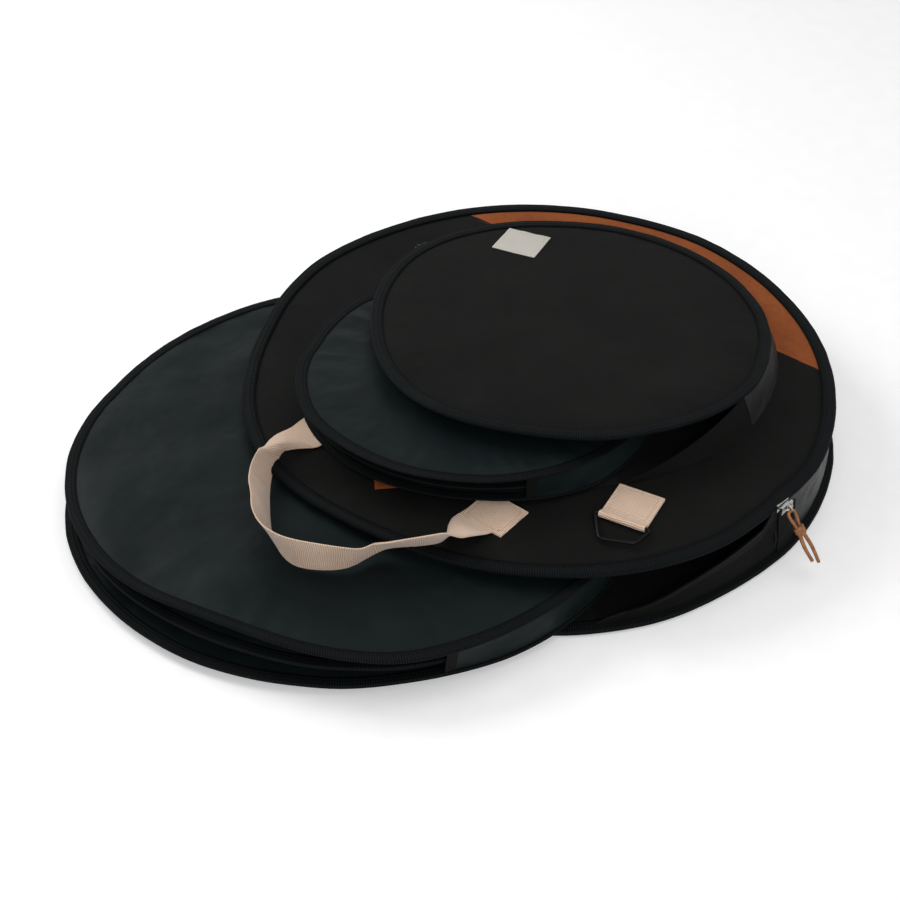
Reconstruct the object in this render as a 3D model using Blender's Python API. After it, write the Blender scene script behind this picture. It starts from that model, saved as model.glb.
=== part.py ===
"""Round cymbal bag lying on its back with its zips open and both dividers drawn part way out.

The bag's own frame: +Z is up, -Y is the way the mouth faces, and the origin is the centre of the
back panel, on the surface that the bag lies on. Every length is in metres.
"""
import math

import bmesh
import bpy
from mathutils import Matrix, Vector

# Clearances
SEAT_GAP = 0.0003
SWING_GAP = 0.0004

# Back panel and its bound edge
BASE_RADIUS = 0.298
BASE_BINDING_WIDTH = 0.013
BASE_BINDING_HEIGHT = 0.006
BASE_PANEL_THICKNESS = 0.004

# Front panel, called the cover, and its bound edge
COVER_RADIUS = 0.2945
COVER_BINDING_WIDTH = 0.013
COVER_BINDING_OVERHANG = 0.0012
COVER_PANEL_THICKNESS = 0.0045
COVER_HEIGHT = 0.0643
COVER_TILT = math.radians(2.58)

# Side wall of the main compartment
WALL_THICKNESS = 0.002
WALL_INSET = 0.0055
WALL_LEAN = 0.0015
SLUMP_HEIGHT = 0.0002
LIP_LEAN = 0.005
ZIP_HALF_SPAN = math.radians(86.5)
SLUMP_START = math.radians(150)
SLUMP_END = math.radians(170)
LIP_END = math.radians(329.5)
LIP_TAPE_SHARE = 0.28
FOLDED_LIP_WIDTH = 0.022
FOLDED_LIP_THICKNESS = 0.0012
ZIP_TAPE_WIDTH = 0.011
ZIP_TAPE_THICKNESS = 0.0009
ZIP_COIL_THICKNESS = 0.0014
ZIP_COIL_WIDTH = 0.003
END_PATCH_SPAN = math.radians(7)
END_PATCH_THICKNESS = 0.0012
END_PATCH_HEIGHT = 0.046

# Canvas panel and patch on the cover
ACCENT_CHORD_Y = 0.172
PATCH_SIDE = 0.058
PATCH_THICKNESS = 0.0008

# Carrying handle of cotton webbing
WEBBING_WIDTH = 0.040
WEBBING_THICKNESS = 0.0015
HANDLE_Y = -0.193
HANDLE_END_INNER_X = 0.080
HANDLE_END_OUTER_X = 0.126
LOOP_CENTRE_X = -0.011
LOOP_CENTRE_Y = -0.235
LOOP_HALF_WIDTH = 0.102
LOOP_REACH = 0.111
LOOP_START = math.radians(19)
LOOP_LEAN = math.radians(24)
LOOP_END_LEAN = math.radians(8)
LOOP_HIGH_EDGE = 0.0078
LOOP_START_EDGE = 0.0068
LOOP_LOW_EDGE = -0.0006
BEND_START_X = 0.100
BEND_LEAD = 0.018
TWIST_START_SHARE = 0.15
LOOP_DROP_SHARES = (0.222, 0.356, 0.667, 0.80)

# Ring tab of cotton webbing and the moulded ring in its fold
TAB_X = 0.199
TAB_Y = -0.110
TAB_TURN = math.radians(11)
TAB_WIDTH = 0.042
TAB_LENGTH = 0.048
TAB_THICKNESS = 0.0013
TAB_RAMP = 0.006
RING_ROD = 0.0016
RING_HALF_WIDTH = 0.0275
RING_REACH = 0.025
RING_APEX_HALF_WIDTH = 0.006
RING_CORNER = 0.0045

# Hi-hat pocket on the cover
POCKET_X = 0.0085
POCKET_Y = 0.046
POCKET_BASE_RADIUS = 0.210
POCKET_WALL_TOP_INSET = 0.0035
POCKET_WALL_THICKNESS = 0.0018
POCKET_ZIP_HALF_SPAN = math.radians(93)
POCKET_LIP_RIGHT_END = math.radians(319.5)
POCKET_LIP_LEFT_END = math.radians(190.5)
POCKET_FOLDED_LIP_WIDTH = 0.018
POCKET_FOLDED_LIP_THICKNESS = 0.0014
LID_RADIUS = 0.202
LID_BINDING_WIDTH = 0.0125
LID_BINDING_OVERHANG = 0.001
LID_PANEL_THICKNESS = 0.004
LID_HEIGHT = 0.0366
LID_TILT = math.radians(-5.43)
LABEL_SIDE = 0.047
LABEL_X = -0.126
LABEL_Y = 0.084
LABEL_TURN = math.radians(-4)
LABEL_THICKNESS = 0.0008

# Large divider
LARGE_RADIUS = 0.280
LARGE_X = -0.069
LARGE_Y = -0.187
LARGE_LOW = 0.0068
LARGE_THICKNESS = 0.0395
LARGE_PAGE_BINDING = 0.0046
LARGE_PAGE_PANEL = 0.0026

# Small divider, whose empty back half is pressed flat inside the pocket
SMALL_RADIUS = 0.177
SMALL_X = -0.0175
SMALL_Y = -0.065
SMALL_TURN = math.radians(-13)
SMALL_LIFT = 0.003
SMALL_BACK_THICKNESS = 0.0092
SMALL_FRONT_THICKNESS = 0.040
SMALL_PAGE_BINDING = 0.0026
SMALL_PAGE_PANEL = 0.0018

# What both dividers share
DIVIDER_BINDING_WIDTH = 0.011
DIVIDER_GUSSET_THICKNESS = 0.002
DIVIDER_GUSSET_INSET = 0.0025
DIVIDER_PAGE_INSET = 0.005
LARGE_MOUTH_HALF = math.radians(58.8)
SMALL_MOUTH_HALF = math.radians(55.2)

# Zip sliders
SLIDER_LENGTH = 0.017
SLIDER_NOSE_HEIGHT = 0.0082
SLIDER_TAIL_HEIGHT = 0.0062
SLIDER_PLATE = 0.002
SLIDER_DEPTH = 0.007
SLIDER_LOW = -0.0032
SLIDER_POST_LENGTH = 0.006
SLIDER_POST_HEIGHT = 0.0026
BAIL_HALF_LENGTH = 0.005
BAIL_ROD = 0.0007
BAIL_REACH = 0.00275
BAIL_RISE = 0.0020
LINK_ROD = 0.0007
LINK_HALF_WIDTH = 0.00175
LINK_STRAIGHT = 0.0026
LACE_ROD = 0.0008
LACE_LOOP_HALF_WIDTH = 0.0026
LACE_LOOP_DROP = 0.0085
KNOT_RADIUS = 0.0042
TAIL_ROD = 0.0015
TAIL_LENGTH = 0.040
TAIL_SPREAD = 0.007
TAIL_OUT_SHARE = 0.72
POCKET_SLIDER_DROP = 0.0035

# Facets
MAIN_SEGMENTS = 72
LARGE_SEGMENTS = 60
LID_SEGMENTS = 60
SMALL_SEGMENTS = 48
ROD_SIDES = 8
BINDING_ROUND_SHARE = 0.3
WALL_STEP = math.radians(5)

MOUTH_AZIMUTH = math.radians(270)
SHARP_ANGLE = math.radians(35)

# colour, roughness and metallic value of each material
MATERIALS = {
    "outer_fabric": ((0.028, 0.027, 0.026), 0.85, 0.0),
    "grosgrain": ((0.016, 0.018, 0.020), 0.8, 0.0),
    "gusset_nylon": ((0.06, 0.064, 0.07), 0.5, 0.0),
    "divider_nylon": ((0.036, 0.05, 0.054), 0.45, 0.0),
    "canvas": ((0.55, 0.22, 0.06), 0.85, 0.0),
    "webbing": ((0.62, 0.45, 0.33), 0.85, 0.0),
    "label_cotton": ((0.75, 0.7, 0.62), 0.85, 0.0),
    "zip_tape": ((0.02, 0.021, 0.022), 0.75, 0.0),
    "nickel": ((0.72, 0.72, 0.72), 0.25, 1.0),
    "moulded_plastic": ((0.012, 0.012, 0.014), 0.35, 0.0),
    "lace_leather": ((0.42, 0.17, 0.06), 0.6, 0.0),
}


def material(name):
    """The named finish, made on its first use."""
    found = bpy.data.materials.get(name)
    if found:
        return found
    colour, roughness, metallic = MATERIALS[name]
    made = bpy.data.materials.new(name)
    made.use_nodes = True
    shader = made.node_tree.nodes["Principled BSDF"]
    shader.inputs["Base Color"].default_value = (*colour, 1)
    shader.inputs["Roughness"].default_value = roughness
    shader.inputs["Metallic"].default_value = metallic
    made.diffuse_color = (*colour, 1)
    return made


def frame(name, place=(0, 0, 0), tilt=0.0, turn=0.0, parent=None):
    """An empty that pieces are placed in: turned about Z, then tilted about its own X."""
    made = bpy.data.objects.new(name, None)
    bpy.context.scene.collection.objects.link(made)
    turned = Matrix.Rotation(turn, 4, "Z") @ Matrix.Rotation(tilt, 4, "X")
    made.matrix_local = Matrix.Translation(place) @ turned
    made.parent = parent
    return made


def piece(name, mesh_data, finish, parent):
    """One object from a bmesh, with its finish, in its parent's frame."""
    bmesh.ops.recalc_face_normals(mesh_data, faces=mesh_data.faces)
    mesh = bpy.data.meshes.new(name)
    mesh_data.to_mesh(mesh)
    mesh_data.free()
    mesh.shade_smooth()
    mesh.set_sharp_from_angle(angle=SHARP_ANGLE)
    mesh.materials.append(material(finish))
    made = bpy.data.objects.new(name, mesh)
    bpy.context.scene.collection.objects.link(made)
    made.parent = parent
    return made


def polar(radius, azimuth):
    """A point in plan at a radius and an azimuth."""
    return Vector((radius * math.cos(azimuth), radius * math.sin(azimuth)))


def loft(sections, closed):
    """Skins a row of equal sections, and caps it unless it closes on itself."""
    made = bmesh.new()
    rings = [[made.verts.new(p) for p in section] for section in sections]
    count = len(rings[0])
    pairs = list(zip(rings, rings[1:]))
    if closed:
        pairs.append((rings[-1], rings[0]))
    for here, there in pairs:
        for k in range(count):
            following = (k + 1) % count
            made.faces.new((here[k], here[following], there[following], there[k]))
    if not closed:
        made.faces.new(rings[0])
        made.faces.new(rings[-1])
    return made


def prism(outline, low, high):
    """An outline in plan, pulled from one height to another."""
    return loft([[(x, y, z) for x, y in outline] for z in (low, high)], closed=False)


def circle(radius, segments):
    """A round outline."""
    return [polar(radius, math.tau * k / segments) for k in range(segments)]


def cut_outline(outline, level, keep_low):
    """The part of a convex outline on one side of a line of constant Y."""
    side = -1 if keep_low else 1
    kept = []
    for here, there in zip(outline, outline[1:] + outline[:1]):
        inside_here = side * (here.y - level) >= 0
        inside_there = side * (there.y - level) >= 0
        if inside_here:
            kept.append(here)
        if inside_here != inside_there:
            kept.append(here.lerp(there, (level - here.y) / (there.y - here.y)))
    return kept


def turned_ring(inner, outer, low, high, segments):
    """A bound edge: a ring whose outer corners are rounded over."""
    round_over = BINDING_ROUND_SHARE * (high - low)
    profile = [(inner, low), (outer - round_over, low), (outer, (low + high) / 2),
               (outer - round_over, high), (inner, high)]
    sections = []
    for k in range(segments):
        spoke = polar(1, math.tau * k / segments)
        sections.append([(r * spoke.x, r * spoke.y, z) for r, z in profile])
    return loft(sections, closed=True)


def swept_wall(start, end, section):
    """Sweeps a section, a function of the azimuth that gives (radius, height) corners."""
    steps = max(2, math.ceil(abs(end - start) / WALL_STEP))
    sections = []
    for k in range(steps + 1):
        azimuth = start + (end - start) * k / steps
        sections.append([(*polar(r, azimuth), z) for r, z in section(azimuth)])
    return loft(sections, closed=False)


def smooth_step(share):
    """Eases from 0 to 1."""
    share = min(max(share, 0.0), 1.0)
    return share * share * (3 - 2 * share)


def rod(path, radius, sides, closed=False):
    """A round rod along a path of points."""
    count = len(path)
    sections = []
    side = None
    for k, point in enumerate(path):
        before = path[(k - 1) % count] if closed or k else point
        after = path[(k + 1) % count] if closed or k < count - 1 else point
        along = (after - before).normalized()
        if side is None:
            side = along.orthogonal().normalized()
        side = (side - along * side.dot(along)).normalized()
        other = along.cross(side)
        spokes = [polar(radius, math.tau * n / sides) for n in range(sides)]
        sections.append([point + side * s.x + other * s.y for s in spokes])
    return loft(sections, closed)


def united(base, tools):
    """Joins overlapping shapes into one body with Boolean unions."""
    for tool in tools:
        tool.hide_render = True
        tool.display_type = "WIRE"
        step = base.modifiers.new("join_" + tool.name, "BOOLEAN")
        step.operation = "UNION"
        step.solver = "EXACT"
        step.object = tool
    return base


def bound_disc(name, radius, width, panel, binding, segments, finish, parent):
    """A flat page and its bound edge, each given as (low, high)."""
    inner = radius - width
    piece(name, prism(circle(inner - SEAT_GAP, segments), *panel), finish, parent)
    piece(name + "_binding", turned_ring(inner, radius, *binding, segments), "grosgrain", parent)


# Main compartment

def cover_underside(y):
    """Height of the underside of the cover's binding over a point of the bag."""
    drop = COVER_BINDING_OVERHANG / math.cos(COVER_TILT)
    return COVER_HEIGHT + y * math.tan(COVER_TILT) - drop


def wall_top(azimuth):
    """Top of the side wall: it slumps towards the left zip end, and the lip falls away in the mouth."""
    full = cover_underside((BASE_RADIUS - WALL_INSET) * math.sin(azimuth)) - SEAT_GAP
    low = BASE_BINDING_HEIGHT + SEAT_GAP + SLUMP_HEIGHT
    azimuth = azimuth % math.tau
    right_end = MOUTH_AZIMUTH + ZIP_HALF_SPAN
    if azimuth > math.pi:
        share = (azimuth - LIP_END) / (right_end - LIP_END)
    else:
        share = (SLUMP_END - azimuth) / (SLUMP_END - SLUMP_START)
    share = min(max(share, 0.0), 1.0)
    return low + (full - low) * (share if azimuth > math.pi else smooth_step(share))


def wall_radius(azimuth, height):
    """Outer face of the side wall, which leans in a little more where it is low."""
    bottom = BASE_BINDING_HEIGHT + SEAT_GAP
    full = cover_underside((BASE_RADIUS - WALL_INSET) * math.sin(azimuth)) - SEAT_GAP - bottom
    slack = 1 - (wall_top(azimuth) - bottom) / full
    lean = WALL_LEAN + LIP_LEAN * slack
    return BASE_RADIUS - WALL_INSET - WALL_THICKNESS - lean * (height - bottom) / full


def wall_section(low_share, high_share):
    """The wall between two shares of its own height."""
    def section(azimuth):
        bottom = BASE_BINDING_HEIGHT + SEAT_GAP
        rise = wall_top(azimuth) - bottom
        low, high = bottom + low_share * rise, bottom + high_share * rise
        if low_share:
            low += SEAT_GAP * rise / (rise + SEAT_GAP)
        foot, top = wall_radius(azimuth, low), wall_radius(azimuth, high)
        return [(foot - WALL_THICKNESS, low), (foot, low), (top, high), (top - WALL_THICKNESS, high)]
    return section


def main_compartment():
    """Back panel, side wall, lip and lower half of the zip."""
    bag = frame("bag")
    right_end = MOUTH_AZIMUTH + ZIP_HALF_SPAN
    left_end = MOUTH_AZIMUTH - ZIP_HALF_SPAN
    bound_disc("back_panel", BASE_RADIUS, BASE_BINDING_WIDTH, (0.0, BASE_PANEL_THICKNESS),
               (0.0, BASE_BINDING_HEIGHT), MAIN_SEGMENTS, "outer_fabric", bag)
    gap_angle = SEAT_GAP / BASE_RADIUS
    piece("hinge_gusset", swept_wall(right_end - math.tau + gap_angle, SLUMP_END, wall_section(0, 1)),
          "gusset_nylon", bag)
    piece("mouth_gusset", swept_wall(LIP_END, right_end, wall_section(0, 1 - LIP_TAPE_SHARE)),
          "outer_fabric", bag)
    piece("lower_zip_tape", swept_wall(LIP_END + WALL_STEP, right_end, wall_section(1 - LIP_TAPE_SHARE, 1)),
          "zip_tape", bag)
    fold_outer = BASE_RADIUS - BASE_BINDING_WIDTH - SEAT_GAP
    fold_low = BASE_PANEL_THICKNESS + SEAT_GAP

    def folded(outer, inner, thickness):
        high = fold_low + thickness
        return lambda azimuth: [(inner, fold_low), (outer, fold_low), (outer, high), (inner, high)]

    tape_outer = fold_outer - (FOLDED_LIP_WIDTH - ZIP_TAPE_WIDTH)
    piece("folded_gusset", swept_wall(SLUMP_END, LIP_END, folded(
        fold_outer, tape_outer + SEAT_GAP, FOLDED_LIP_THICKNESS)), "outer_fabric", bag)
    piece("folded_zip_tape", swept_wall(left_end, LIP_END, folded(
        tape_outer, tape_outer - ZIP_TAPE_WIDTH, ZIP_TAPE_THICKNESS)), "zip_tape", bag)
    patch_inner = BASE_RADIUS - WALL_INSET - WALL_THICKNESS + SEAT_GAP
    patch_low = BASE_BINDING_HEIGHT + SEAT_GAP
    piece("zip_end_patch", swept_wall(
        right_end - END_PATCH_SPAN / 2, right_end + END_PATCH_SPAN / 2,
        lambda azimuth: [(patch_inner, patch_low), (patch_inner + END_PATCH_THICKNESS, patch_low),
                         (patch_inner + END_PATCH_THICKNESS, patch_low + END_PATCH_HEIGHT),
                         (patch_inner, patch_low + END_PATCH_HEIGHT)]), "outer_fabric", bag)
    return bag


# Cover

def cover_frame(bag):
    """The cover's frame: centre of its underside, carried by the fold at the back of the bag."""
    reach, rise = COVER_RADIUS * math.cos(COVER_TILT), COVER_RADIUS * math.sin(COVER_TILT)
    back = Vector((0, reach, COVER_HEIGHT + rise))
    hinge = frame("cover_hinge", back, tilt=COVER_TILT, parent=bag)
    return frame("cover", (0, -COVER_RADIUS, 0), parent=hinge)


def cover_panels(cover):
    """The front panel, the canvas chord at its back, the patch, the binding and the upper zip tape."""
    inner = COVER_RADIUS - COVER_BINDING_WIDTH
    outline = circle(inner - SEAT_GAP, MAIN_SEGMENTS)
    split = SEAT_GAP / 2
    front = cut_outline(outline, ACCENT_CHORD_Y - split, True)
    accent = cut_outline(outline, ACCENT_CHORD_Y + split, False)
    piece("front_panel", prism(front, 0.0, COVER_PANEL_THICKNESS), "outer_fabric", cover)
    piece("accent_panel", prism(accent, 0.0, COVER_PANEL_THICKNESS), "canvas", cover)
    piece("front_panel_binding", turned_ring(
        inner, COVER_RADIUS, -COVER_BINDING_OVERHANG, COVER_PANEL_THICKNESS + COVER_BINDING_OVERHANG,
        MAIN_SEGMENTS), "grosgrain", cover)
    low = COVER_PANEL_THICKNESS + SEAT_GAP
    reach = PATCH_SIDE / math.sqrt(2)
    diamond = [Vector((0, HANDLE_Y - reach)), Vector((reach, HANDLE_Y)), Vector((0, HANDLE_Y + reach)),
               Vector((-reach, HANDLE_Y))]
    diamond = cut_outline(diamond, POCKET_Y - POCKET_BASE_RADIUS - SEAT_GAP, True)
    piece("accent_patch", prism(diamond, low, low + PATCH_THICKNESS), "canvas", cover)
    tape_outer = inner - SEAT_GAP

    def tape(azimuth):
        high = -SEAT_GAP
        coil = tape_outer - ZIP_TAPE_WIDTH
        return [(coil, high - ZIP_COIL_THICKNESS), (coil + ZIP_COIL_WIDTH, high - ZIP_COIL_THICKNESS),
                (coil + ZIP_COIL_WIDTH, high - ZIP_TAPE_THICKNESS), (tape_outer, high - ZIP_TAPE_THICKNESS),
                (tape_outer, high), (coil, high)]

    piece("upper_zip_tape", swept_wall(MOUTH_AZIMUTH - ZIP_HALF_SPAN, MOUTH_AZIMUTH + ZIP_HALF_SPAN, tape),
          "zip_tape", cover)


# Handle

def loop_station(angle):
    """Centre, across and travel directions of the handle's webbing at an angle round its loop."""
    start, drop, rise, end = (share * math.pi for share in LOOP_DROP_SHARES)
    if angle < math.pi / 2:
        lowered = smooth_step((angle - start) / (drop - start))
    else:
        lowered = 1 - smooth_step((angle - rise) / (end - rise))
    edge = LOOP_HIGH_EDGE + (LOOP_LOW_EDGE - LOOP_HIGH_EDGE) * lowered
    from_end = min(angle, math.pi - angle)
    settle = smooth_step((from_end - LOOP_START) / LOOP_START)
    edge = LOOP_START_EDGE + (edge - LOOP_START_EDGE) * settle
    lean = LOOP_END_LEAN + (LOOP_LEAN - LOOP_END_LEAN) * settle
    outward = Vector((LOOP_REACH * math.cos(angle), -LOOP_HALF_WIDTH * math.sin(angle), 0)).normalized()
    across = outward * math.sin(lean) + Vector((0, 0, math.cos(lean)))
    travel = Vector((-LOOP_HALF_WIDTH * math.sin(angle), -LOOP_REACH * math.cos(angle), 0)).normalized()
    centre = Vector((LOOP_CENTRE_X + LOOP_HALF_WIDTH * math.cos(angle),
                     LOOP_CENTRE_Y - LOOP_REACH * math.sin(angle),
                     edge + WEBBING_WIDTH / 2 * math.cos(lean)))
    return centre, across, travel


def webbing(stations, width, thickness):
    """A flat strap through stations of (centre, across, travel), both its faces split along the same diagonals."""
    made = bmesh.new()
    rows = []
    for centre, across, travel in stations:
        normal = across.cross(travel).normalized() * thickness / 2
        half = across * width / 2
        inner, outer = centre - half, centre + half
        corners = (inner - normal, outer - normal, outer + normal, inner + normal)
        rows.append([made.verts.new(corner) for corner in corners])
    for here, there in zip(rows, rows[1:]):
        made.faces.new((here[0], here[1], there[1]))
        made.faces.new((here[0], there[1], there[0]))
        made.faces.new((here[2], here[3], there[2]))
        made.faces.new((here[3], there[3], there[2]))
        made.faces.new((here[1], here[2], there[2], there[1]))
        made.faces.new((here[3], here[0], there[0], there[3]))
    made.faces.new(rows[0])
    made.faces.new(rows[-1])
    return made


def bend_stations(side, steps):
    """The twist from a sewn end to the loop, on the side given as +1 or -1: its inner edge stays low."""
    flat = COVER_PANEL_THICKNESS + SEAT_GAP + WEBBING_THICKNESS / 2
    start = Vector((side * BEND_START_X, HANDLE_Y - WEBBING_WIDTH / 2 - SEAT_GAP, flat))
    angle = LOOP_START if side > 0 else math.pi - LOOP_START
    end, end_across, travel = loop_station(angle)
    travel = travel * side
    leave = start - Vector((0, BEND_LEAD, 0))
    arrive = end - travel * BEND_LEAD
    turn_from = Vector((side, 0, 0))
    turn_to = Vector((end_across.x, end_across.y, 0)).normalized()
    final = math.asin(end_across.z)
    edge_end = end.z - WEBBING_WIDTH / 2 * end_across.z
    stations = []
    for t in [0.0] + [TWIST_START_SHARE + (1 - TWIST_START_SHARE) * k / steps for k in range(steps)]:
        eased = smooth_step((t - TWIST_START_SHARE) / (1 - TWIST_START_SHARE))
        twist = final * eased
        a, b, c, d = (1 - t) ** 3, 3 * t * (1 - t) ** 2, 3 * t * t * (1 - t), t ** 3
        point = start * a + leave * b + arrive * c + end * d
        first, second, third = (1 - t) ** 2, 2 * t * (1 - t), t * t
        forward = (leave - start) * first + (arrive - leave) * second + (end - arrive) * third
        forward = Vector((forward.x, forward.y, 0)).normalized()
        level = turn_from.lerp(turn_to, t).normalized()
        across = level * math.cos(twist) + Vector((0, 0, math.sin(twist)))
        point.z = flat + (edge_end - flat) * eased + WEBBING_WIDTH / 2 * math.sin(twist)
        stations.append((point, across, forward))
    stations.append((end - travel * SEAT_GAP, end_across, travel))
    return stations


def handle(cover):
    """Two sewn ends, two twists and the loop that lies over the mouth."""
    low = COVER_PANEL_THICKNESS + SEAT_GAP
    half = WEBBING_WIDTH / 2
    for name, side in (("right", 1), ("left", -1)):
        xs = sorted((side * HANDLE_END_INNER_X, side * HANDLE_END_OUTER_X))
        near, far = HANDLE_Y - half, HANDLE_Y + half
        outline = [(xs[0], near), (xs[1], near), (xs[1], far), (xs[0], far)]
        piece("handle_end_" + name, prism(outline, low, low + WEBBING_THICKNESS), "webbing", cover)
        piece("handle_bend_" + name, webbing(bend_stations(side, 10), WEBBING_WIDTH, WEBBING_THICKNESS),
              "webbing", cover)
    pivot = Vector((0, HANDLE_Y, low))
    swing = frame("handle_swing", pivot, parent=cover)
    steps = 28
    stations = []
    for k in range(steps + 1):
        centre, across, travel = loop_station(LOOP_START + (math.pi - 2 * LOOP_START) * k / steps)
        stations.append((centre - pivot, across, travel))
    piece("handle_loop", webbing(stations, WEBBING_WIDTH, WEBBING_THICKNESS), "webbing", swing)


# Ring tab and ring

def ring_tab(cover):
    """A strip of webbing folded round the bar of the ring, and the ring on its own swinging frame."""
    tab = frame("tab_place", (TAB_X, TAB_Y, COVER_PANEL_THICKNESS + SEAT_GAP), turn=TAB_TURN, parent=cover)
    fold_radius = RING_ROD + SWING_GAP + TAB_THICKNESS / 2
    bar = Vector((0, TAB_THICKNESS / 2 + fold_radius - TAB_LENGTH / 2, TAB_THICKNESS / 2 + fold_radius))
    upper = TAB_THICKNESS + SEAT_GAP + TAB_THICKNESS / 2
    path = [Vector((0, TAB_LENGTH / 2, TAB_THICKNESS / 2))]
    fold_steps = 6
    for k in range(fold_steps + 1):
        angle = math.pi * k / fold_steps
        path.append(bar + fold_radius * Vector((0, -math.sin(angle), -math.cos(angle))))
    path.append(Vector((0, bar.y + TAB_RAMP, upper)))
    path.append(Vector((0, TAB_LENGTH / 2, upper)))
    stations = []
    for k, point in enumerate(path):
        before, after = path[max(k - 1, 0)], path[min(k + 1, len(path) - 1)]
        stations.append((point, Vector((1, 0, 0)), (after - before).normalized()))
    piece("ring_tab", webbing(stations, TAB_WIDTH, TAB_THICKNESS), "webbing", tab)
    swing = frame("ring_swing", bar, parent=tab)
    corners = [(-RING_HALF_WIDTH, 0), (RING_HALF_WIDTH, 0), (RING_APEX_HALF_WIDTH, -RING_REACH),
               (-RING_APEX_HALF_WIDTH, -RING_REACH)]
    corners = [Vector((x, y, 0)) for x, y in corners]
    ring = []
    for before, here, after in zip(corners[-1:] + corners[:-1], corners, corners[1:] + corners[:1]):
        entry = here + (before - here).normalized() * RING_CORNER
        leave = here + (after - here).normalized() * RING_CORNER
        ring += [entry, (entry + leave + 2 * here) / 4, leave]
    piece("ring", rod(ring, RING_ROD, ROD_SIDES, closed=True), "moulded_plastic", swing)


# Pocket

def lid_underside(y):
    """Height of the underside of the lid's binding over a point of the cover."""
    drop = LID_BINDING_OVERHANG / math.cos(LID_TILT)
    return LID_HEIGHT + (y - POCKET_Y) * math.tan(LID_TILT) - drop


def pocket_wall_top(azimuth):
    """Top of the pocket's wall: up to the lid, and falling away from both zip ends in the mouth."""
    top_radius = LID_RADIUS - POCKET_WALL_TOP_INSET
    full = lid_underside(POCKET_Y + top_radius * math.sin(azimuth)) - SEAT_GAP
    low = COVER_PANEL_THICKNESS + SEAT_GAP + SLUMP_HEIGHT
    azimuth = azimuth % math.tau
    right_end = MOUTH_AZIMUTH + POCKET_ZIP_HALF_SPAN
    left_end = MOUTH_AZIMUTH - POCKET_ZIP_HALF_SPAN
    share = 1.0
    if azimuth > MOUTH_AZIMUTH:
        share = min((azimuth - POCKET_LIP_RIGHT_END) / (right_end - POCKET_LIP_RIGHT_END), 1.0)
    elif azimuth > left_end:
        share = (POCKET_LIP_LEFT_END - azimuth) / (POCKET_LIP_LEFT_END - left_end)
    return low + (full - low) * max(share, 0.0)


def pocket_wall_section(azimuth):
    """The pocket's wall leans in from its wide base to the lid."""
    low, high = COVER_PANEL_THICKNESS + SEAT_GAP, pocket_wall_top(azimuth)
    top_radius = LID_RADIUS - POCKET_WALL_TOP_INSET
    full = lid_underside(POCKET_Y + top_radius * math.sin(azimuth)) - SEAT_GAP - low
    top = POCKET_BASE_RADIUS + (top_radius - POCKET_BASE_RADIUS) * (high - low) / full
    return [(POCKET_BASE_RADIUS - POCKET_WALL_THICKNESS, low), (POCKET_BASE_RADIUS, low), (top, high),
            (top - POCKET_WALL_THICKNESS, high)]


def pocket(cover):
    """Wall, folded lip and lid of the hi-hat pocket, with the label on the lid."""
    place = frame("pocket_place", (POCKET_X, POCKET_Y, 0), parent=cover)
    right_end = MOUTH_AZIMUTH + POCKET_ZIP_HALF_SPAN
    left_end = MOUTH_AZIMUTH - POCKET_ZIP_HALF_SPAN
    gap_angle = SEAT_GAP / POCKET_BASE_RADIUS
    back_start = right_end - math.tau + gap_angle
    piece("pocket_gusset", swept_wall(back_start, left_end - gap_angle, pocket_wall_section), "gusset_nylon", place)
    piece("pocket_lip_right", swept_wall(POCKET_LIP_RIGHT_END, right_end, pocket_wall_section),
          "outer_fabric", place)
    piece("pocket_lip_left", swept_wall(left_end, POCKET_LIP_LEFT_END, pocket_wall_section),
          "outer_fabric", place)
    low = COVER_PANEL_THICKNESS + SEAT_GAP
    high = low + POCKET_FOLDED_LIP_THICKNESS
    inner = POCKET_BASE_RADIUS - POCKET_FOLDED_LIP_WIDTH
    piece("pocket_folded_lip", swept_wall(
        POCKET_LIP_LEFT_END + gap_angle, POCKET_LIP_RIGHT_END - gap_angle,
        lambda azimuth: [(inner, low), (POCKET_BASE_RADIUS, low), (POCKET_BASE_RADIUS, high), (inner, high)]),
        "zip_tape", place)
    reach = LID_RADIUS * math.cos(LID_TILT)
    back = Vector((0, reach, LID_HEIGHT + LID_RADIUS * math.sin(LID_TILT)))
    hinge = frame("pocket_hinge", back, tilt=LID_TILT, parent=place)
    lid = frame("pocket_lid", (0, -LID_RADIUS, 0), parent=hinge)
    bound_disc("pocket_lid_panel", LID_RADIUS, LID_BINDING_WIDTH, (0.0, LID_PANEL_THICKNESS),
               (-LID_BINDING_OVERHANG, LID_PANEL_THICKNESS + LID_BINDING_OVERHANG), LID_SEGMENTS,
               "outer_fabric", lid)
    tape_outer = LID_RADIUS - LID_BINDING_WIDTH - SEAT_GAP
    tape_inner, tape_low = tape_outer - ZIP_TAPE_WIDTH, -SEAT_GAP - ZIP_TAPE_THICKNESS
    tape = [(tape_inner, tape_low), (tape_outer, tape_low), (tape_outer, -SEAT_GAP), (tape_inner, -SEAT_GAP)]
    piece("pocket_zip_tape", swept_wall(left_end, right_end, lambda azimuth: tape), "zip_tape", lid)
    label_low = LID_PANEL_THICKNESS + SEAT_GAP
    label = frame("label_place", (LABEL_X, LABEL_Y, 0), turn=LABEL_TURN, parent=lid)
    half = LABEL_SIDE / 2
    piece("label_patch", prism([(-half, -half), (half, -half), (half, half), (-half, half)],
                               label_low, label_low + LABEL_THICKNESS), "label_cotton", label)
    zip_slider("pocket_zip", LID_RADIUS, left_end, -POCKET_SLIDER_DROP, False, lid)


# Dividers

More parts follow.
